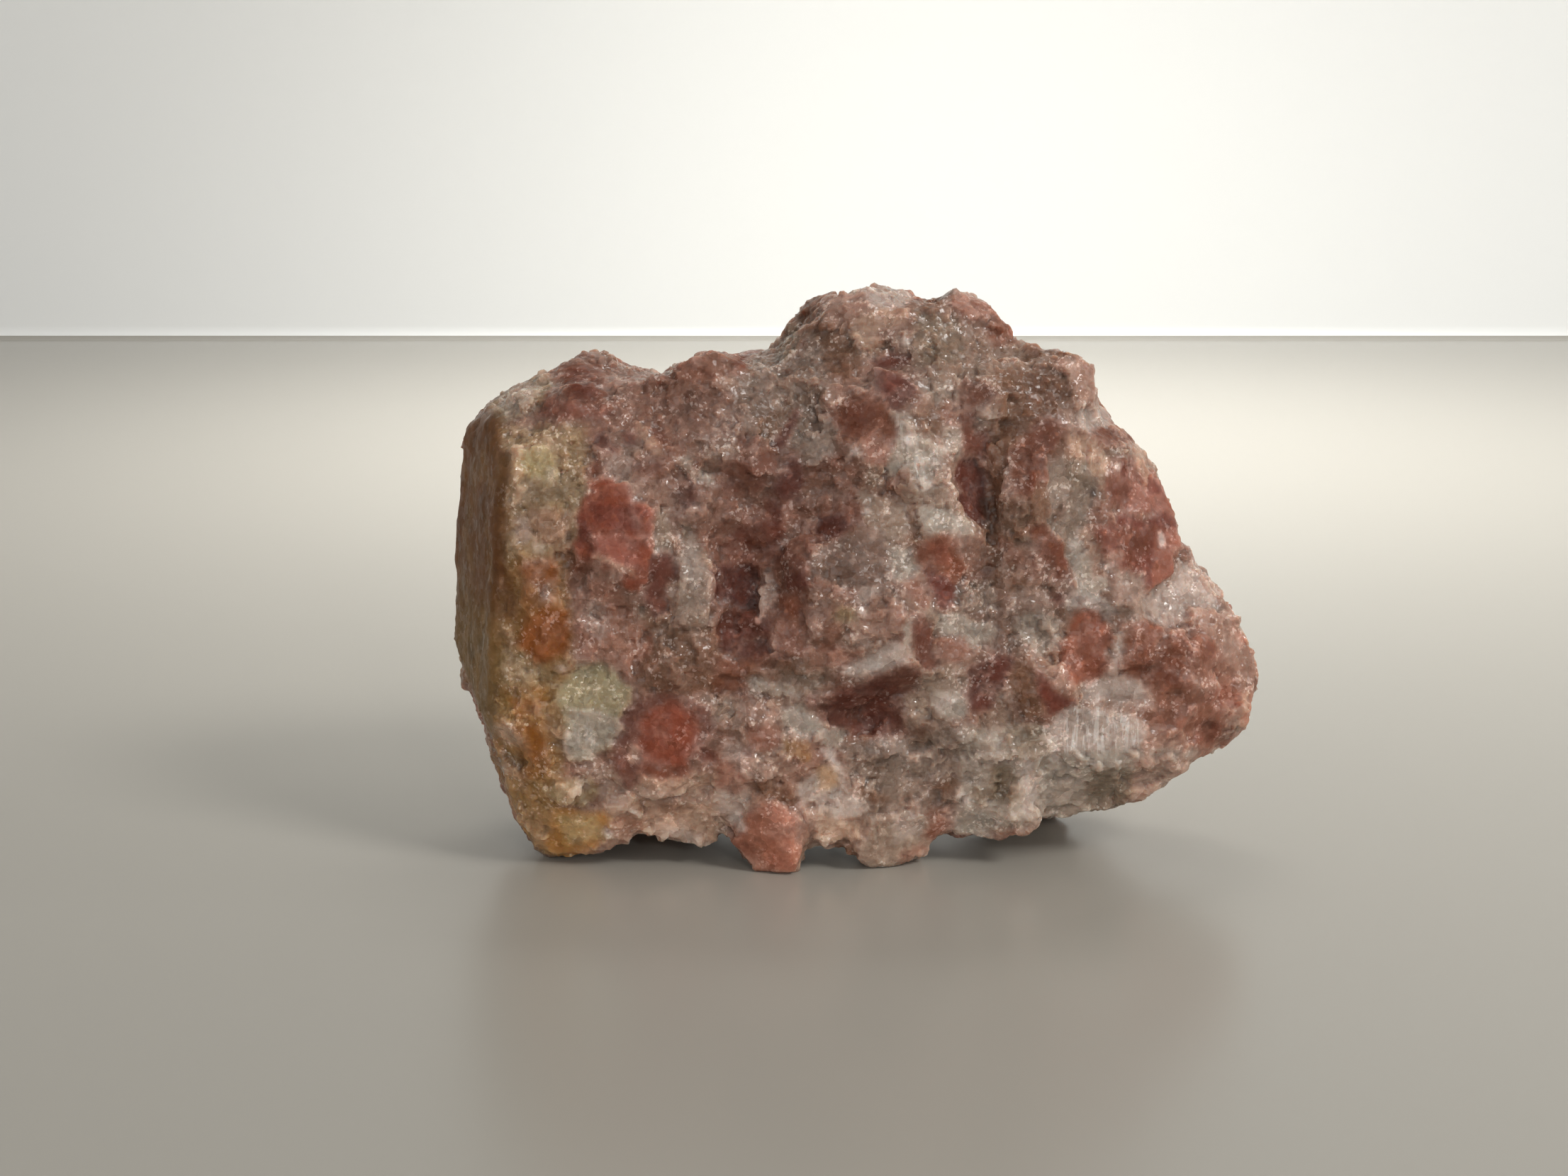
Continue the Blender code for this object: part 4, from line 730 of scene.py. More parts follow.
    ("darkRust", 0.8, 0.35, [(19, 15.9), (19.7, 15.2), (21.2, 14.7), (22.7, 14.8), (22.9, 13.3), (22, 12.4),
        (20, 13), (18.9, 13.8)]),
    ("red", 0.75, 0.3, [(14.8, 17.4), (15.3, 17.9), (16.4, 17.9), (16.8, 17.3), (17.6, 16.4), (17.7, 15.6),
        (17, 15), (17.4, 14), (16.6, 13.1), (14.8, 12.6), (14.3, 13.6), (13.9, 14.4), (14.2, 15.4),
        (14.6, 16.3)]),
    ("pink", 0.5, 0.2, [(15.1, 16.5), (16, 16.4), (15.8, 15.9), (15.1, 15.9)]),
    ("pale", 0.7, 0.2, [(17.7, 16.6), (18.3, 16.4), (18.2, 13.4), (17.4, 13.2), (17.6, 14.4)]),
    ("pink", 0.7, 0.3, [(13, 14), (14.2, 13.5), (14.9, 12.5), (14.9, 11.8), (13.8, 12), (12.9, 13)]),
    ("pale", 0.85, 0.3, [(15.4, 12.2), (16.6, 13.1), (17.4, 13.3), (19.6, 12.9), (20.4, 11.6), (19.4, 11.2),
        (16, 11.4)]),
    ("darkMaroon", 0.95, 0.12, [(7.6, 13.4), (8.2, 14.1), (8.7, 14.5), (10.3, 15), (10.8, 14.6), (10.8, 14),
        (10.3, 13.4), (10.2, 12.6), (9.7, 12), (9.4, 10.9), (8, 10.7), (7.7, 11.6)]),
    ("lilac", 0.5, 0.15, [(8.4, 12.4), (9.6, 12.4), (9.5, 11.9), (8.4, 11.8)]),
    ("brown", 0.95, 0.15, [(10.9, 14.9), (11.8, 14.9), (12.4, 14.3), (13, 13.4), (14, 12.3), (15.1, 11.6),
        (15.1, 11), (13.5, 10.7), (12.2, 10.1), (11.4, 10.9), (10.5, 12.2), (10.4, 13)]),
    ("darkRed", 0.9, 0.15, [(12.5, 13.8), (13.2, 12.9), (13.9, 12.2), (15.1, 11.5), (15.1, 11), (14, 10.9),
        (13.4, 10.6), (12.4, 11.8)]),
    ("copper", 0.75, 0.3, [(24.4, 12.5), (25.8, 12.7), (26.4, 12), (26.6, 11.1), (25.8, 10.8), (25, 11.1),
        (24, 11.2)]),
    ("lilac", 0.6, 0.3, [(19, 12), (20.6, 11.6), (21.6, 10.8), (19.4, 10.7)]),
    ("rust", 0.5, 0.5, [(20.6, 12), (23, 12), (25.2, 11.2), (25.8, 9.4), (25, 7.8), (24.3, 6.9),
        (23.4, 8.4), (21.4, 9.2), (20.8, 10.4)]),
    ("maroon", 0.5, 0.4, [(23.2, 10.4), (25.4, 10), (25.2, 8.4), (23.4, 8.2)]),
    ("pink", 0.7, 0.4, [(19.8, 10), (22.6, 9.2), (23, 7.8), (20, 7.9)]),
    ("pink", 0.7, 0.2, [(25.2, 11), (26.3, 11), (26.9, 10.2), (26.7, 9.4), (25.8, 8.9), (25.4, 9.8)]),
    ("palePink", 0.7, 0.12, [(26.5, 12), (26.9, 12), (27, 9.6), (26.6, 9.4)]),
    ("redTip", 0.9, 0.15, [(27.1, 12.1), (27.9, 11.7), (28.2, 10.6), (28.1, 9.7), (27, 9.3), (26.8, 10.2),
        (27, 11.2)]),
    ("pink", 0.7, 0.4, [(19.5, 7.6), (23.5, 7.4), (22.8, 6.1), (20.4, 4.6), (19, 3.4), (18.4, 4.6),
        (19, 5.8)]),
    ("lightGrey", 0.8, 0.35, [(14.6, 7.9), (18.6, 8), (19, 7.2), (17.4, 6.1), (16, 5.9), (14.4, 7.1)]),
    ("olive", 0.75, 0.3, [(16.4, 6.4), (19.2, 6.5), (19.2, 5.2), (18.6, 3.7), (17.2, 3), (16.2, 3.4),
        (15.9, 5.6)]),
    ("darkBrown", 0.6, 0.12, [(15.9, 5.7), (16.2, 5.7), (17.1, 5), (16.8, 4.9), (15.9, 5.2)]),
    ("lightGrey", 0.75, 0.3, [(13.2, 7.4), (14.6, 7.2), (15.4, 6.4), (15.6, 5.3), (14, 5.5), (12.7, 6.4)]),
    ("pale", 0.85, 0.15, [(11.5, 7.9), (12, 7.9), (12.4, 6.2), (12.8, 5), (12.5, 4), (12.1, 3.3),
        (11.6, 3.4), (12, 4.4), (11.5, 5.8)]),
    ("olive", 0.85, 0.35, [(9.5, 6.9), (10.8, 6.7), (11.3, 5.6), (11.4, 4.6), (10.4, 4.1), (9.4, 4.3)]),
    ("olive", 0.6, 0.4, [(10, 9.6), (13, 10), (13.3, 8), (12.4, 7.1), (10.6, 7.5)]),
    # ribbed cleavage low on the right; its small white patches are partly the cleavage's white and partly
    # painted glint
    ("pale", 0.9, 0.25, [(14.9, 11), (17, 10.9), (19.2, 10.5), (20, 9.8), (20.1, 8.9), (19.6, 8.2),
        (18, 7.9), (13.8, 7.9), (13.3, 9), (13.8, 10)]),
    ("white", 0.9, 0.12, [(12.8, 9.9), (13.2, 9.9), (13.2, 9.4), (12.8, 9.4)]),
    ("white", 0.9, 0.12, [(13.5, 7.7), (14.2, 7.7), (14.2, 7.1), (13.4, 7.1)]),
]

# outlines where the cleavage is ribbed and has painted glitter: how bright, outline
ribbedFaces = [
    (1.0, [(14.9, 11.1), (17, 10.9), (19.2, 10.5), (20.1, 9.8), (20.1, 8.9), (19.6, 8.2), (18, 7.9),
        (14.4, 7.9), (14, 9), (14.2, 10)]),
    (0.7, [(4.7, 29.6), (6, 28.9), (5.6, 27.8), (4.8, 27.6)]),
    (0.5, [(2.2, 31.3), (3.8, 30.6), (4.6, 28.6), (4.8, 26.4), (4, 26.4), (3.2, 28.6)]),
    (0.3, [(-19.6, 10.9), (-17.8, 10.8), (-17.6, 8.4), (-19.6, 8.2)]),
    (0.2, [(-18.6, 18.2), (-15, 18), (-14.4, 15), (-18, 15)]),
]

# the back, top and underside are made of the same minerals in unplanned places
otherGrains = {
    "sizes": [(5.5, 0.65), (2.5, 0.35)],  # in two sizes, and how much each counts
    "seed": 41,
    "shares": {
        "grey": 14, "greyBeige": 12, "lightGrey": 8, "pink": 12, "brownPink": 12, "salmon": 8, "lilac": 6,
        "rust": 6, "darkRed": 4, "maroon": 7, "brown": 5, "olive": 6, "pale": 5,
    },
}

print("stone: copying the solid")
stonePiece = solidCopy(solidNode)
evenSurface(stonePiece, stone["pointSpacing"])
coarserBehind(stonePiece, stone["kept"])
stoneMesh = stonePiece.data
edges = edgesOf(stoneMesh)
points = averaged(pointsOf(stoneMesh), edges, stone["softenSolid"])
setPoints(stoneMesh, points)
normals = normalsOf(stoneMesh)

# the deep pits of the solid are filled towards its overall form, except at the feet
overall = averaged(points, edges, stone["overallForm"])
depth = dotted(overall - points, unit(averaged(normals, edges, 60)))
filling = stone["pitFill"] * blend(stone["pitDepth"], 4 * stone["pitDepth"], depth)
filling = averaged(filling, edges, 10) * blend(0.5, 1.5, points[:, 2])
points = points + (overall - points) * filling[:, None]
setPoints(stoneMesh, averaged(points, edges, 2))
points = pointsOf(stoneMesh)
normals = normalsOf(stoneMesh)
area = sum(face.area for face in stoneMesh.polygons) / mm**2
weathered = endAmount(points)

print("stone: breaking in the grains,", len(points), "points,", round(area), "mm2")
random = np.random.default_rng(stone["seed"])
smallestFirst = list(reversed(stone["grains"]))
sizes = [stone["grains"][name]["size"] for name in smallestFirst]
grains = dict(zip(smallestFirst, nestedGrains(points, sizes, area, random)))
fine, fineMiddles = grains["fine"]
base = points
along = unit(averaged(normals, edges, 6))

# where each point lies on the sheet of patches, with borders that stray and follow the grains
strayed = fineMiddles + sheet["wander"] * drift(fineMiddles, 0.9, 61)
spot = base + sheet["grainShare"] * (strayed[fine] - base)
eye = np.array(sheet["seenFrom"])
reach = (sheet["depth"] - eye[1]) / (spot[:, 1] - eye[1])
across = eye[0] + reach * (spot[:, 0] - eye[0]) + sheet["aside"]
upright = eye[2] + reach * (spot[:, 2] - eye[2])
towardsEye = dotted(unit(averaged(along, edges, 60)), unit(eye - base))

# the clearest patches are single crystals, each with one flat face
crystals = stone["crystals"]
crystal = np.zeros(len(base), int)
inFront = (towardsEye > stone["crystalFacing"]) & (base[:, 1] < stone["crystalDepth"])
for index, (name, strength, softness, outline) in enumerate(frontPatches):
    if strength >= crystals["leastStrength"] and softness <= crystals["mostSoftness"]:
        seen = outlineWeight(across, upright, outline, 0.1) > 0.5
        crystal[seen & inFront] = index + 1
whole = (crystal > 0).astype(float)
points = flattened(points, along, crystal, crystals, random, whole)
setPoints(stoneMesh, points)
for name, look in stone["grains"].items():
    points = flattened(points, along, grains[name][0], look, random, 1 - look["unbroken"] * whole)
    setPoints(stoneMesh, points)

# rounded crumbs, one on each fine grain
crumbs = stone["crumbs"]
roundness = 1 - (np.linalg.norm(base - fineMiddles[fine], axis=1) / crumbs["radius"]) ** 2
extra = crumbs["topHeight"] - crumbs["frontHeight"]
height = crumbs["frontHeight"] + extra * blend(0.1, 0.7, normals[:, 2])
height = height * np.clip(roundness, 0, 1) * random.uniform(-0.3, 1, len(fineMiddles))[fine]
points = points + along * (height * (1 - weathered))[:, None]
rounded = averaged(points, edges, 3)
needle = blend(*stone["needles"], np.linalg.norm(points - rounded, axis=1))
points = points + (rounded - points) * needle[:, None]

low, high = (np.array(corner) / mm for corner in solidBox)
points = np.clip(points, low + stone["boxGap"], high - stone["boxGap"])
points[:, 2] = np.where(base[:, 2] < stone["soleHeight"], base[:, 2], points[:, 2])
setPoints(stoneMesh, points)
stoneMesh.polygons.foreach_set("use_smooth", np.ones(len(stoneMesh.polygons), bool))


# tiny painted glints, and painted shade in two small pits, on the front: across, up and radius
glintSpecks = [
    (3.5, 29.6, 0.35), (4.3, 28, 0.4), (4.8, 26.6, 0.4), (0.7, 24.8, 0.2), (-5.1, 22.6, 0.2),
    (-0.9, 19.4, 0.25), (0.3, 17.7, 0.25), (17.5, 27.8, 0.25), (20.8, 23, 0.2), (20.9, 22.5, 0.2),
    (19.3, 20.4, 0.15), (17.2, 20.9, 0.2), (15.4, 10.6, 0.2), (16.5, 10.4, 0.2), (17.5, 10.2, 0.2),
    (18.7, 10, 0.2), (17.5, 8.6, 0.2), (13, 9.7, 0.2), (14, 7.4, 0.2), (1.8, 8.6, 0.2), (7.2, 4.8, 0.2),
    (7.8, 4.3, 0.25), (-18.1, 25.9, 0.15), (-21.4, 21.4, 0.15), (-13.9, 21.8, 0.15), (-20.2, 13.8, 0.15),
    (-15.7, 3.5, 0.18), (-14.8, 3.2, 0.15), (3.1, 36.2, 0.3),
]
pitShadeSpots = [(15.9, 26, 0.18), (1.9, 27.6, 0.16)]

drawing = {
    "crispness": 0.6,  # share left of each softness
    # clouds in the ground between the patches: strength, where they start and end, size and seed
    "ground": {"greyBeige": (0.8, -0.25, 0.35, 3.5, 52), "pink": (0.5, -0.1, 0.4, 3.0, 53)},
    "contrast": 1.22,  # between the patches
    "middle": (0.203, 0.117, 0.087),  # the colour that the contrast turns on
    "endStrength": 0.9,  # of the colours of the weathered left end
    "lightness": {"coarse": 0.06, "middling": 0.06, "fine": 0.05},  # from grain to grain
    "seams": {"coarse": 0.35, "middling": 0.20},  # haze along the borders of the grains
    "rims": 0.4,  # paleness round the single crystals
    "reds": (1.45, 2.6),  # red over green from which a grain counts as red, a little and wholly
    "redsRounded": 0.7,
    "edgeFrostAndHighlight": 0.40,  # paleness of the broken edges: frost, and partly a painted edge highlight
    "depth": 0.24,  # painted shade in the hollows
    # painted light and shade on the front: the foot lighter, the top darker
    "footLightPaint": 0.25,
    "topShadePaint": 0.12,
    "blush": (1.0, 0.975, 0.96),
    "richness": 1.14,
    "hueSpread": 2,  # rounds of averaging for the colour
    "lightSpread": 30,  # and for light and dark
    "sharpness": 0.74,  # share left of the finest light and dark
}


def linear(name):
    return np.array([(channel / 255) ** 2.2 for channel in colours[name]])


def mixInto(tint, colour, weight):
    return tint + (colour - tint) * weight[:, None]


def seamsOf(grain):
    # 1 on the points where two grains meet
    border = (grain[edges[:, 0]] != grain[edges[:, 1]]).astype(float)
    count = len(grain)
    total = np.bincount(edges[:, 0], border, count) + np.bincount(edges[:, 1], border, count)
    return np.clip(total / 2, 0, 1)


def hazed(tint, amount):
    return mixInto(tint, 0.5 * (linear("white") + tint * 1.3), amount)


def clouds(low, high, size, seed, axis=0):
    # soft random areas that keep to whole grains
    return blend(low, high, drift(fineMiddles, size, seed)[:, axis])[fine]


print("stone: colouring", len(frontPatches), "patches")
front = np.tile(linear("brownPink"), (len(base), 1))
for name, (strength, *cloud) in drawing["ground"].items():
    front = mixInto(front, linear(name), strength * clouds(*cloud))
for name, strength, softness, outline in frontPatches:
    weight = outlineWeight(across, upright, outline, softness * drawing["crispness"])
    front = mixInto(front, linear(name), strength * weight)
# white for the painted glints, black for the painted shade in the pits
for spots, name in ((glintSpecks, "white"), (pitShadeSpots, "black")):
    for x, z, radius in spots:
        weight = blend(radius + 0.15, radius - 0.1, np.hypot(across - x, upright - z))
        front = mixInto(front, linear(name), weight)
ribbed = np.zeros(len(base))
for strength, outline in ribbedFaces:
    ribbed = np.maximum(ribbed, strength * outlineWeight(across, upright, outline, 0.3))

# the other sides
random = np.random.default_rng(otherGrains["seed"])
shares = np.array(list(otherGrains["shares"].values()), float)
palette = np.array([linear(name) for name in otherGrains["shares"]])
elsewhere = 0
for size, share in otherGrains["sizes"]:
    middles = scattered(base, size, area, random)
    chosen = random.choice(len(palette), len(middles), p=shares / shares.sum())
    elsewhere = elsewhere + share * palette[chosen][nearestOf(strayed, middles)][fine]
frontness = blend(-0.1, 0.15, towardsEye) * blend(8.0, 5.0, base[:, 1])
tint = mixInto(elsewhere, front, frontness)
middle = np.array(drawing["middle"])
tint = middle * (tint / middle) ** drawing["contrast"]
ribbed *= frontness

# the weathered left end, brown at the top and olive below
height = base[:, 2] + 2 * drift(fineMiddles, 4, 54)[fine, 0]
endTint = mixInto(np.tile(linear("endOlive"), (len(base), 1)), linear("endBrown"), blend(14, 21, height))
endTint = mixInto(endTint, linear("ochre"), 0.35 * clouds(0, 0.5, 2.5, 55, axis=1))
edgeOfEnd = blend(0.15, 0.7, weathered + 0.3 * drift(fineMiddles, 1.2, 56)[fine, 0])
tint = mixInto(tint, endTint, drawing["endStrength"] * edgeOfEnd)

# every grain is a little lighter or darker than its neighbours, with haze where they meet
for name, spread in drawing["lightness"].items():
    grain, middles = grains[name]
    tint = tint * np.exp(random.normal(0, spread, len(middles))[grain])[:, None]
fresh = 1 - 0.9 * weathered
patchy = clouds(-0.15, 0.35, 1.8, 57)
for name, strength in drawing["seams"].items():
    tint = hazed(tint, strength * fresh * patchy * seamsOf(grains[name][0]))
rim = averaged(seamsOf(crystal), edges, 1) * (0.4 + 0.6 * patchy)
tint = hazed(tint, drawing["rims"] * fresh * rim)

# the red crystals break more cleanly than the pale sugary ones between them
clear = averaged(blend(*drawing["reds"], tint[:, 0] / tint[:, 1]), edges, 2)
rounding = drawing["redsRounded"] * clear * blend(0.1, 1.0, base[:, 2])
finished = points + (averaged(points, edges, 4) - points) * rounding[:, None]
setPoints(stoneMesh, finished)
normals = normalsOf(stoneMesh)
crispBorders(stoneMesh, grains["fine"][0], weathered > 0.5)
fresh = fresh * (1 - 0.5 * clear)

# broken edges are paler, partly frost and partly a painted edge highlight, and the hollows between them get
# painted shade
for rounds, tall in ((12, 0.22), (80, 0.45)):
    rise = dotted(finished - averaged(finished, edges, rounds), normals) / tall
    frostAndHighlight = drawing["edgeFrostAndHighlight"] * fresh * blend(0.1, 1.0, rise) * (0.3 + 0.7 * patchy)
    tint = mixInto(tint, 0.45 * linear("white") + 0.75 * tint, frostAndHighlight)
    # painted shade in the hollows, darker and a little redder
    shade = 1 - drawing["depth"] * fresh * blend(0.1, 1.0, -rise)
    tint = tint * shade[:, None] ** np.array([0.8, 1.05, 1.15])
# painted light and shade: lighter towards the foot, darker on the top
onTop = blend(28, 36, base[:, 2]) * blend(-0.1, 0.5, along[:, 2])
lighter = drawing["footLightPaint"] * blend(13, 1, base[:, 2]) - drawing["topShadePaint"] * onTop
tint = tint * (1 + lighter * frontness)[:, None]
tint = tint * np.array(drawing["blush"])

# light spreads inside the crystals, which softens their colour more than their lightness
grey = (tint @ np.array([0.3, 0.59, 0.11]))[:, None]
hue = averaged(1 + drawing["richness"] * (tint / grey - 1), edges, drawing["hueSpread"])
calm = averaged(np.log(grey), edges, drawing["lightSpread"])
tint = np.clip(hue * np.exp(calm + drawing["sharpness"] * (np.log(grey) - calm)), 0.005, 0.85)

layer = stoneMesh.color_attributes.new("tint", "FLOAT_COLOR", "POINT")
layer.data.foreach_set("color", np.column_stack([tint, np.ones(len(tint))]).astype(np.float32).ravel())
for name, values in (("iron", clear), ("dull", weathered), ("ribbed", ribbed)):
    attribute = stoneMesh.attributes.new(name, "FLOAT", "POINT")
    attribute.data.foreach_set("value", values.astype(np.float32))
dropStrayBits(stoneMesh)

# the stone's own finish: flakes, chips and specks that each shine their own way
feldspar = {
    # how many to a millimetre
    "flakes": 0.68,
    "chips": 2.1,
    "specks": 4.8,
    "sparks": 6.5,
    "plates": 3.2,  # of iron oxide, in the red grains
    "wobble": (2.4, 0.45),  # how fine and how strong the bends in their borders are
    # how much paler some are than others, and how much paler each grows towards one side, which is painted
    # shade and light as if each flake were tilted
    "paler": {"flakes": 0.14, "chips": 0.10, "specks": 0.10},
    "slopes": {"flakes": 0.20, "chips": 0.10},
    "rims": {"flakes": (0.05, 0.5), "chips": (0.10, 0.35)},  # width and paleness of the painted edge highlights
    "leans": {"flakes": 0.30, "chips": 0.32, "specks": 0.18},
    "hazy": 0.26,
    # painted glints: the bright flecks and the sparks
    "bright": 0.6,
    "spark": 0.5,
    "lightness": 0.6,  # of all that together
    "haze": (0.18, 0.153, 0.143),
    "blackest": (0.012, 0.007, 0.006),
    # the colour of the painted glints
    "glint": (0.86, 0.80, 0.75, 1),
    "glintShare": (0.24, -0.12),  # of the painted glints, in the pale grains, and what the red ones add
    "deep": (0.045, 0.016, 0.012, 1),
    "deepShare": 0.06,
    "copper": (0.62, 0.27, 0.17, 1),
    "copperShare": 0.10,
    "copperMetal": 0.4,
    "ribs": (3.2, 3.2, 0.35),  # how many to a millimetre along X, Y and Z
    "ribShare": 0.42,
    "ribHeight": 1.5,
    "glassy": 0.12,
    "broken": 0.42,
    "mirror": (0.07, 0.07, 0.07, 1),
    "dullness": 0.3,
    "bump": {"Strength": 0.6, "Distance": 0.00012},
    "inside": 0.85,  # share of the light that goes into the stone
    "lightColour": (1.0, 0.55, 0.4),
    "lightReach": 0.0018,
    "refraction": 1.40,
}


class NodeBench:
    # keeps one material's nodes and joins them up
    def __init__(self, material):
        material.use_nodes = True
        self.nodes = material.node_tree.nodes
        self.links = material.node_tree.links

    def join(self, value, socket):
        if hasattr(value, "is_output"):
            self.links.new(value, socket)
        else:
            socket.default_value = value

    def add(self, kind, inputs=None, **settings):
        node = self.nodes.new(kind)
        for name, value in settings.items():
            setattr(node, name, value)
        for name, value in (inputs or {}).items():
            self.join(value, node.inputs[name])
        return node

    def math(self, operation, *values, clamp=False):
        inputs = dict(enumerate(values))
        return self.add("ShaderNodeMath", inputs, operation=operation, use_clamp=clamp).outputs[0]

    def times(self, first, second):
        return self.math("MULTIPLY", first, second)

    def plus(self, total, value, share):
        # the share of the value added to the total
        return self.math("MULTIPLY_ADD", value, share, total)

    def less(self, value, share=1.0):
        # 1 less the share of the value
        return self.math("SUBTRACT", 1.0, self.times(value, share) if share != 1.0 else value)

    def vector(self, operation, *values):
        node = self.add("ShaderNodeVectorMath", dict(enumerate(values)), operation=operation)
        return node.outputs["Value" if operation == "DOT_PRODUCT" else "Vector"]

    def centred(self, colour):
        return self.vector("SUBTRACT", colour, (0.5, 0.5, 0.5))

    def scaled(self, vector, amount):
        node = self.add("ShaderNodeVectorMath", {0: vector, "Scale": amount}, operation="SCALE")
        return node.outputs["Vector"]

    def mix(self, share, first, second, blend="MIX"):
        node = self.add("ShaderNodeMix", data_type="RGBA", blend_type=blend)
        for index, value in ((0, share), (6, first), (7, second)):  # the sockets for colours
            self.join(value, node.inputs[index])
        return node.outputs[2]

    def between(self, value, low, high):
        # 0 below low, 1 above high
        limits = {"Value": value, "From Min": low, "From Max": high}
        return self.add("ShaderNodeMapRange", limits, interpolation_type="SMOOTHSTEP").outputs["Result"]

    def attribute(self, name):
        return self.add("ShaderNodeAttribute", attribute_name=name).outputs["Fac"]

    def split(self, colour):
        return self.add("ShaderNodeSeparateColor", {"Color": colour}).outputs

    def noise(self, place, scale, detail, roughness=0.55):
        inputs = {"Vector": place, "Scale": scale, "Detail": detail, "Roughness": roughness}
        return self.add("ShaderNodeTexNoise", inputs).outputs

    def cells(self, place, scale, feature="F1"):
        return self.add("ShaderNodeTexVoronoi", {"Vector": place, "Scale": scale}, feature=feature).outputs


def feldsparMaterial():
    material = bpy.data.materials.new("feldspar")
    bench = NodeBench(material)
    shader = bench.nodes["Principled BSDF"]
    place = bench.scaled(bench.add("ShaderNodeTexCoord").outputs["Object"], 1 / mm)
    fineness, strength = feldspar["wobble"]
    wobble = bench.centred(bench.noise(place, fineness, 3.0)["Color"])
    bent = bench.vector("ADD", place, bench.scaled(wobble, strength))
    tintHere = bench.add("ShaderNodeVertexColor", layer_name="tint").outputs["Color"]
    iron, dull, ribbedHere = (bench.attribute(name) for name in ("iron", "dull", "ribbed"))
    fresh = bench.less(dull, 0.8)
    sugary = bench.less(iron, 0.15)

    # a random colour for each flake, chip and speck, and where a point lies from its dark to its pale side,
    # for painted shade and light across each flake
    randoms, values, slopes = {}, {}, {}
    for name in feldspar["paler"]:
        cells = bench.cells(bent, feldspar[name])
        randoms[name] = bench.centred(cells["Color"])
        values[name] = bench.split(randoms[name])
        if name in feldspar["slopes"]:
            offset = bench.vector("SUBTRACT", bent, cells["Position"])
            slope = bench.vector("DOT_PRODUCT", offset, randoms[name])
            slopes[name] = bench.times(slope, 2.0 * feldspar[name])
    cloud = bench.noise(place, 0.9, 4.0, 0.5)["Fac"]
    lightness = bench.plus(-0.25, cloud, 0.5)
    for name, paler in feldspar["paler"].items():
        lightness = bench.plus(lightness, values[name][0], paler)
        # painted shade and light across each flake
        if name in slopes:
            lightness = bench.plus(lightness, slopes[name], feldspar["slopes"][name])

    # groups of chips that are hazy, with small bright flecks among them that are painted glints
    where = bench.noise(place, 0.55, 4.0, 0.6)["Fac"]
    group = bench.times(bench.between(where, 0.50, 0.60), fresh)
    hazy = bench.times(bench.between(values["chips"][2], 0.0, 0.04), group)
    lightness = bench.plus(lightness, hazy, feldspar["hazy"])
    bright = bench.times(bench.between(values["specks"][1], 0.38, 0.41), bench.plus(0.1, group, 0.9))
    lightness = bench.plus(lightness, bright, feldspar["bright"])

    # painted highlights: thin pale rims where a flake or a chip ends on its paler side
    for name, (width, paleness) in feldspar["rims"].items():
        border = bench.cells(bent, feldspar[name], "DISTANCE_TO_EDGE")["Distance"]
        rim = bench.less(bench.between(border, 0.0, width))
        rim = bench.times(rim, bench.between(slopes[name], 0.05, 0.35))
        rim = bench.times(rim, bench.plus(0.4, group, 0.6))
        lightness = bench.plus(lightness, bench.times(rim, fresh), paleness)

    # pinpoint sparks, painted glints
    sparks = bench.split(bench.centred(bench.cells(place, feldspar["sparks"])["Color"]))
    spark = bench.between(sparks[1], 0.42, 0.43)
    spark = bench.times(spark, bench.plus(0.08, group, 0.92))
    spark = bench.times(spark, fresh)
    lightness = bench.plus(lightness, spark, feldspar["spark"])
    lightness = bench.times(lightness, sugary)

    colour = bench.mix(1.0, tintHere, bench.plus(1.0, lightness, feldspar["lightness"]), "MULTIPLY")
    milky = bench.times(lightness, bench.plus(0.4, iron, -0.18))
    colour = bench.vector("ADD", colour, bench.vector("MULTIPLY", milky, feldspar["haze"]))
    # painted glints: the sparks and the bright flecks turn towards the glint colour
    share, more = feldspar["glintShare"]
    glint = bench.times(bench.math("MAXIMUM", spark, bright), bench.plus(share, iron, more))
    colour = bench.mix(glint, bench.vector("MAXIMUM", colour, feldspar["blackest"]), feldspar["glint"])

    # plates of iron oxide in the red grains
    plates = bench.split(bench.centred(bench.cells(place, feldspar["plates"])["Color"]))
    dark = bench.times(bench.between(plates[1], 0.28, 0.34), iron)
    colour = bench.mix(bench.times(dark, feldspar["deepShare"]), colour, feldspar["deep"])
    copper = bench.times(bench.between(plates[0], 0.44, 0.46), iron)
    colour = bench.mix(bench.times(copper, feldspar["copperShare"]), colour, feldspar["copper"])

    # ribs of the cleavage faces: bumps, and stripes of painted glitter
    ribs = bench.noise(bench.vector("MULTIPLY", place, feldspar["ribs"]), 1.0, 3.0)["Fac"]
    ribLight = bench.times(bench.between(ribs, 0.53, 0.60), ribbedHere)
    colour = bench.mix(bench.times(ribLight, feldspar["ribShare"]), colour, feldspar["glint"])
    bench.join(colour, shader.inputs["Base Color"])
    bench.join(bench.times(copper, feldspar["copperMetal"]), shader.inputs["Metallic"])

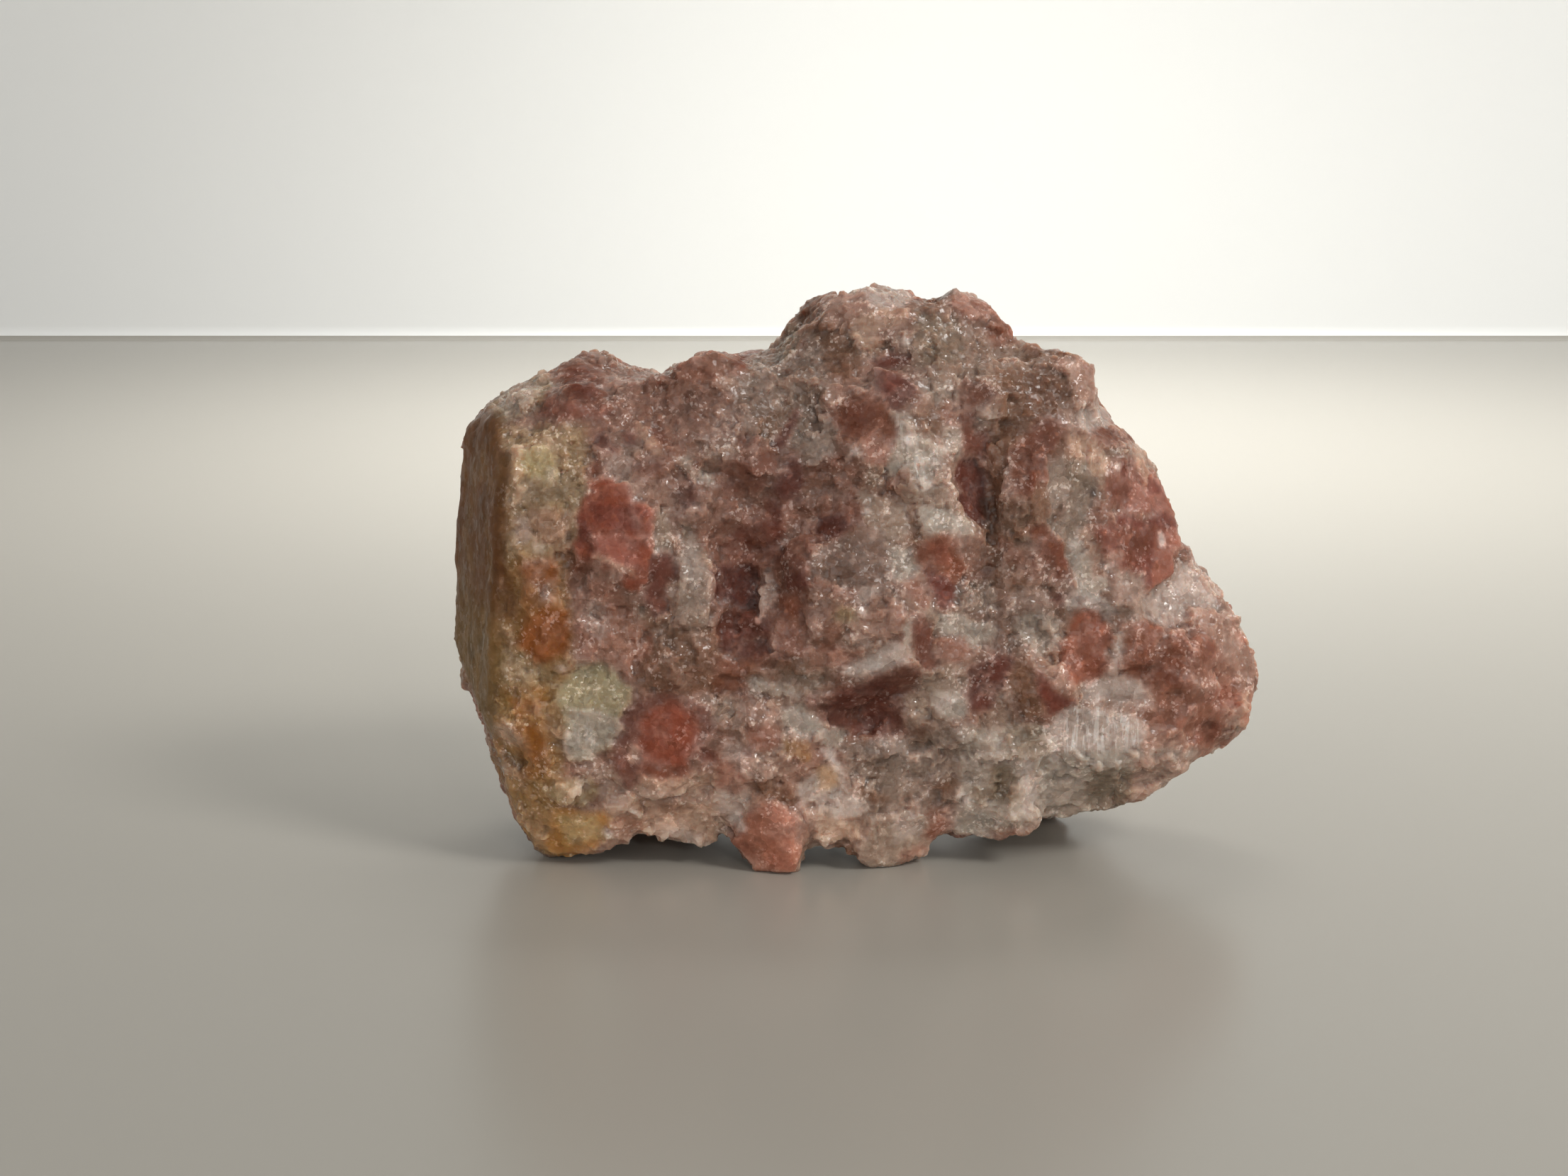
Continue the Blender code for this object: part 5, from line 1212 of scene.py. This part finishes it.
    # each small face shines its own way
    glassy, broken = feldspar["glassy"], feldspar["broken"]
    gloss = bench.plus((broken + glassy) / 2, values["chips"][1], broken - glassy)
    mirror = bench.times(bench.between(values["chips"][2], 0.42, 0.45), sugary)
    gloss = bench.split(bench.mix(mirror, gloss, feldspar["mirror"]))[0]
    duller = bench.times(bench.math("MAXIMUM", dull, iron), feldspar["dullness"])
    bench.join(bench.math("ADD", gloss, duller, clamp=True), shader.inputs["Roughness"])
    facing = bench.add("ShaderNodeNewGeometry").outputs["Normal"]
    flakeLean, chipLean, speckLean = (
        bench.scaled(randoms[name], amount) for name, amount in feldspar["leans"].items()
    )
    lean = bench.vector("ADD", bench.vector("ADD", flakeLean, chipLean), speckLean)
    lean = bench.scaled(lean, bench.times(fresh, sugary))
    tipped = bench.vector("NORMALIZE", bench.vector("ADD", facing, lean))
    height = bench.plus(cloud, bench.times(ribs, ribbedHere), feldspar["ribHeight"])
    bump = bench.add("ShaderNodeBump", {**feldspar["bump"], "Height": height, "Normal": tipped})
    bench.join(bump.outputs["Normal"], shader.inputs["Normal"])
    shader.inputs["Subsurface Weight"].default_value = feldspar["inside"]
    shader.inputs["Subsurface Radius"].default_value = feldspar["lightColour"]
    shader.inputs["Subsurface Scale"].default_value = feldspar["lightReach"]
    shader.inputs["IOR"].default_value = feldspar["refraction"]
    return material


print("stone: feldspar")
stoneMesh.materials.clear()
stoneMesh.materials.append(feldsparMaterial())
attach(stonePiece, "root")
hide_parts("sunstone")

# a pale table that curves up into a wall
room = {
    "halfWidth": 1.5,
    "nearEdge": -1.2,
    "wallAway": 0.345,
    "wallHeight": 1.2,
    "coveRadius": 0.003,
    "coveSteps": 8,
    "tableColour": (0.362, 0.340, 0.298, 1),
    "tableRoughness": 0.28,
    "tableRefraction": 1.75,
    "wallColour": (0.90, 0.905, 0.885, 1),
    "wallRoughness": 0.9,
    "air": (1.0, 0.99, 0.96, 1),
    "airStrength": 0.38,
}


def plainMaterial(name, colour, roughness):
    material = bpy.data.materials.new(name)
    material.use_nodes = True
    shader = material.node_tree.nodes["Principled BSDF"]
    shader.inputs["Base Color"].default_value = colour
    shader.inputs["Roughness"].default_value = roughness
    return material


def tableAndWall():
    away, radius, steps = room["wallAway"], room["coveRadius"], room["coveSteps"]
    profile = [(room["nearEdge"], 0.0)]
    for step in range(steps + 1):
        turn = math.radians(90 * step / steps)
        profile.append((away + radius * math.sin(turn), radius * (1 - math.cos(turn))))
    profile.append((away + radius, room["wallHeight"]))
    corners = [(x, y, z) for y, z in profile for x in (-room["halfWidth"], room["halfWidth"])]
    faces = [(2 * i, 2 * i + 1, 2 * i + 3, 2 * i + 2) for i in range(len(profile) - 1)]
    mesh = bpy.data.meshes.new("tableAndWall")
    mesh.from_pydata(corners, [], faces)
    tableMaterial = plainMaterial("table", room["tableColour"], room["tableRoughness"])
    tableMaterial.node_tree.nodes["Principled BSDF"].inputs["IOR"].default_value = room["tableRefraction"]
    mesh.materials.append(tableMaterial)
    mesh.materials.append(plainMaterial("wall", room["wallColour"], room["wallRoughness"]))
    for index, face in enumerate(mesh.polygons):
        face.material_index = 1 if index > steps / 2 else 0
        face.use_smooth = True
    piece = bpy.data.objects.new("tableAndWall", mesh)
    bpy.context.scene.collection.objects.link(piece)


lamps = {
    # name: place, what it points at, size, spread in degrees, watts, colour
    "window": ((0.34, -0.24, 0.36), (0.0, 0.0, 0.02), 0.16, 180, 1.46, (1.0, 0.985, 0.96)),
    "farWindow": ((-0.22, -0.50, 0.16), (0.0, 0.0, 0.02), 0.36, 180, 0.46, (0.98, 0.99, 1.0)),
    "spark": ((0.16, -0.52, 0.20), (0.0, 0.0, 0.02), 0.05, 180, 0.35, (1.0, 0.99, 0.97)),
    "farTable": ((0.02, 0.19, 0.26), (0.02, 0.20, 0.0), 0.20, 78, 0.34, (1.0, 1.0, 0.98)),
    "wallWash": ((0.36, 0.02, 0.16), (0.24, 0.38, 0.02), 0.18, 180, 0.36, (1.0, 1.0, 0.98)),
}


def addLamps():
    for name, (place, target, size, spread, watts, colour) in lamps.items():
        light = bpy.data.lights.new(name, "AREA")
        light.shape = "DISK"
        light.size = size
        light.spread = math.radians(spread)
        light.energy = watts
        light.color = colour
        lamp = bpy.data.objects.new(name, light)
        lamp.location = place
        lamp.rotation_euler = (Vector(target) - Vector(place)).to_track_quat("-Z", "Y").to_euler()
        bpy.context.scene.collection.objects.link(lamp)
    world = bpy.data.worlds.new("air")
    world.use_nodes = True
    world.node_tree.nodes["Background"].inputs["Color"].default_value = room["air"]
    world.node_tree.nodes["Background"].inputs["Strength"].default_value = room["airStrength"]
    bpy.context.scene.world = world


camera = {
    "aim": (-0.004934, -0.00633, 0.0194),
    "distance": 0.158,
    "above": 12.0,  # degrees
    "lens": 53.1,
    "nearest": 0.005,
}


def addCamera():
    aim = Vector(camera["aim"])
    above = math.radians(camera["above"])
    data = bpy.data.cameras.new("camera")
    data.lens = camera["lens"]
    data.clip_start = camera["nearest"]
    eye = bpy.data.objects.new("camera", data)
    eye.location = aim + camera["distance"] * Vector((0, -math.cos(above), math.sin(above)))
    eye.rotation_euler = (aim - eye.location).to_track_quat("-Z", "Y").to_euler()
    bpy.context.scene.collection.objects.link(eye)
    bpy.context.scene.camera = eye


print("room: table, wall, lamps and camera")
tableAndWall()
addLamps()
addCamera()
bpy.context.scene.view_settings.view_transform = "Standard"

bpy.context.view_layer.update()
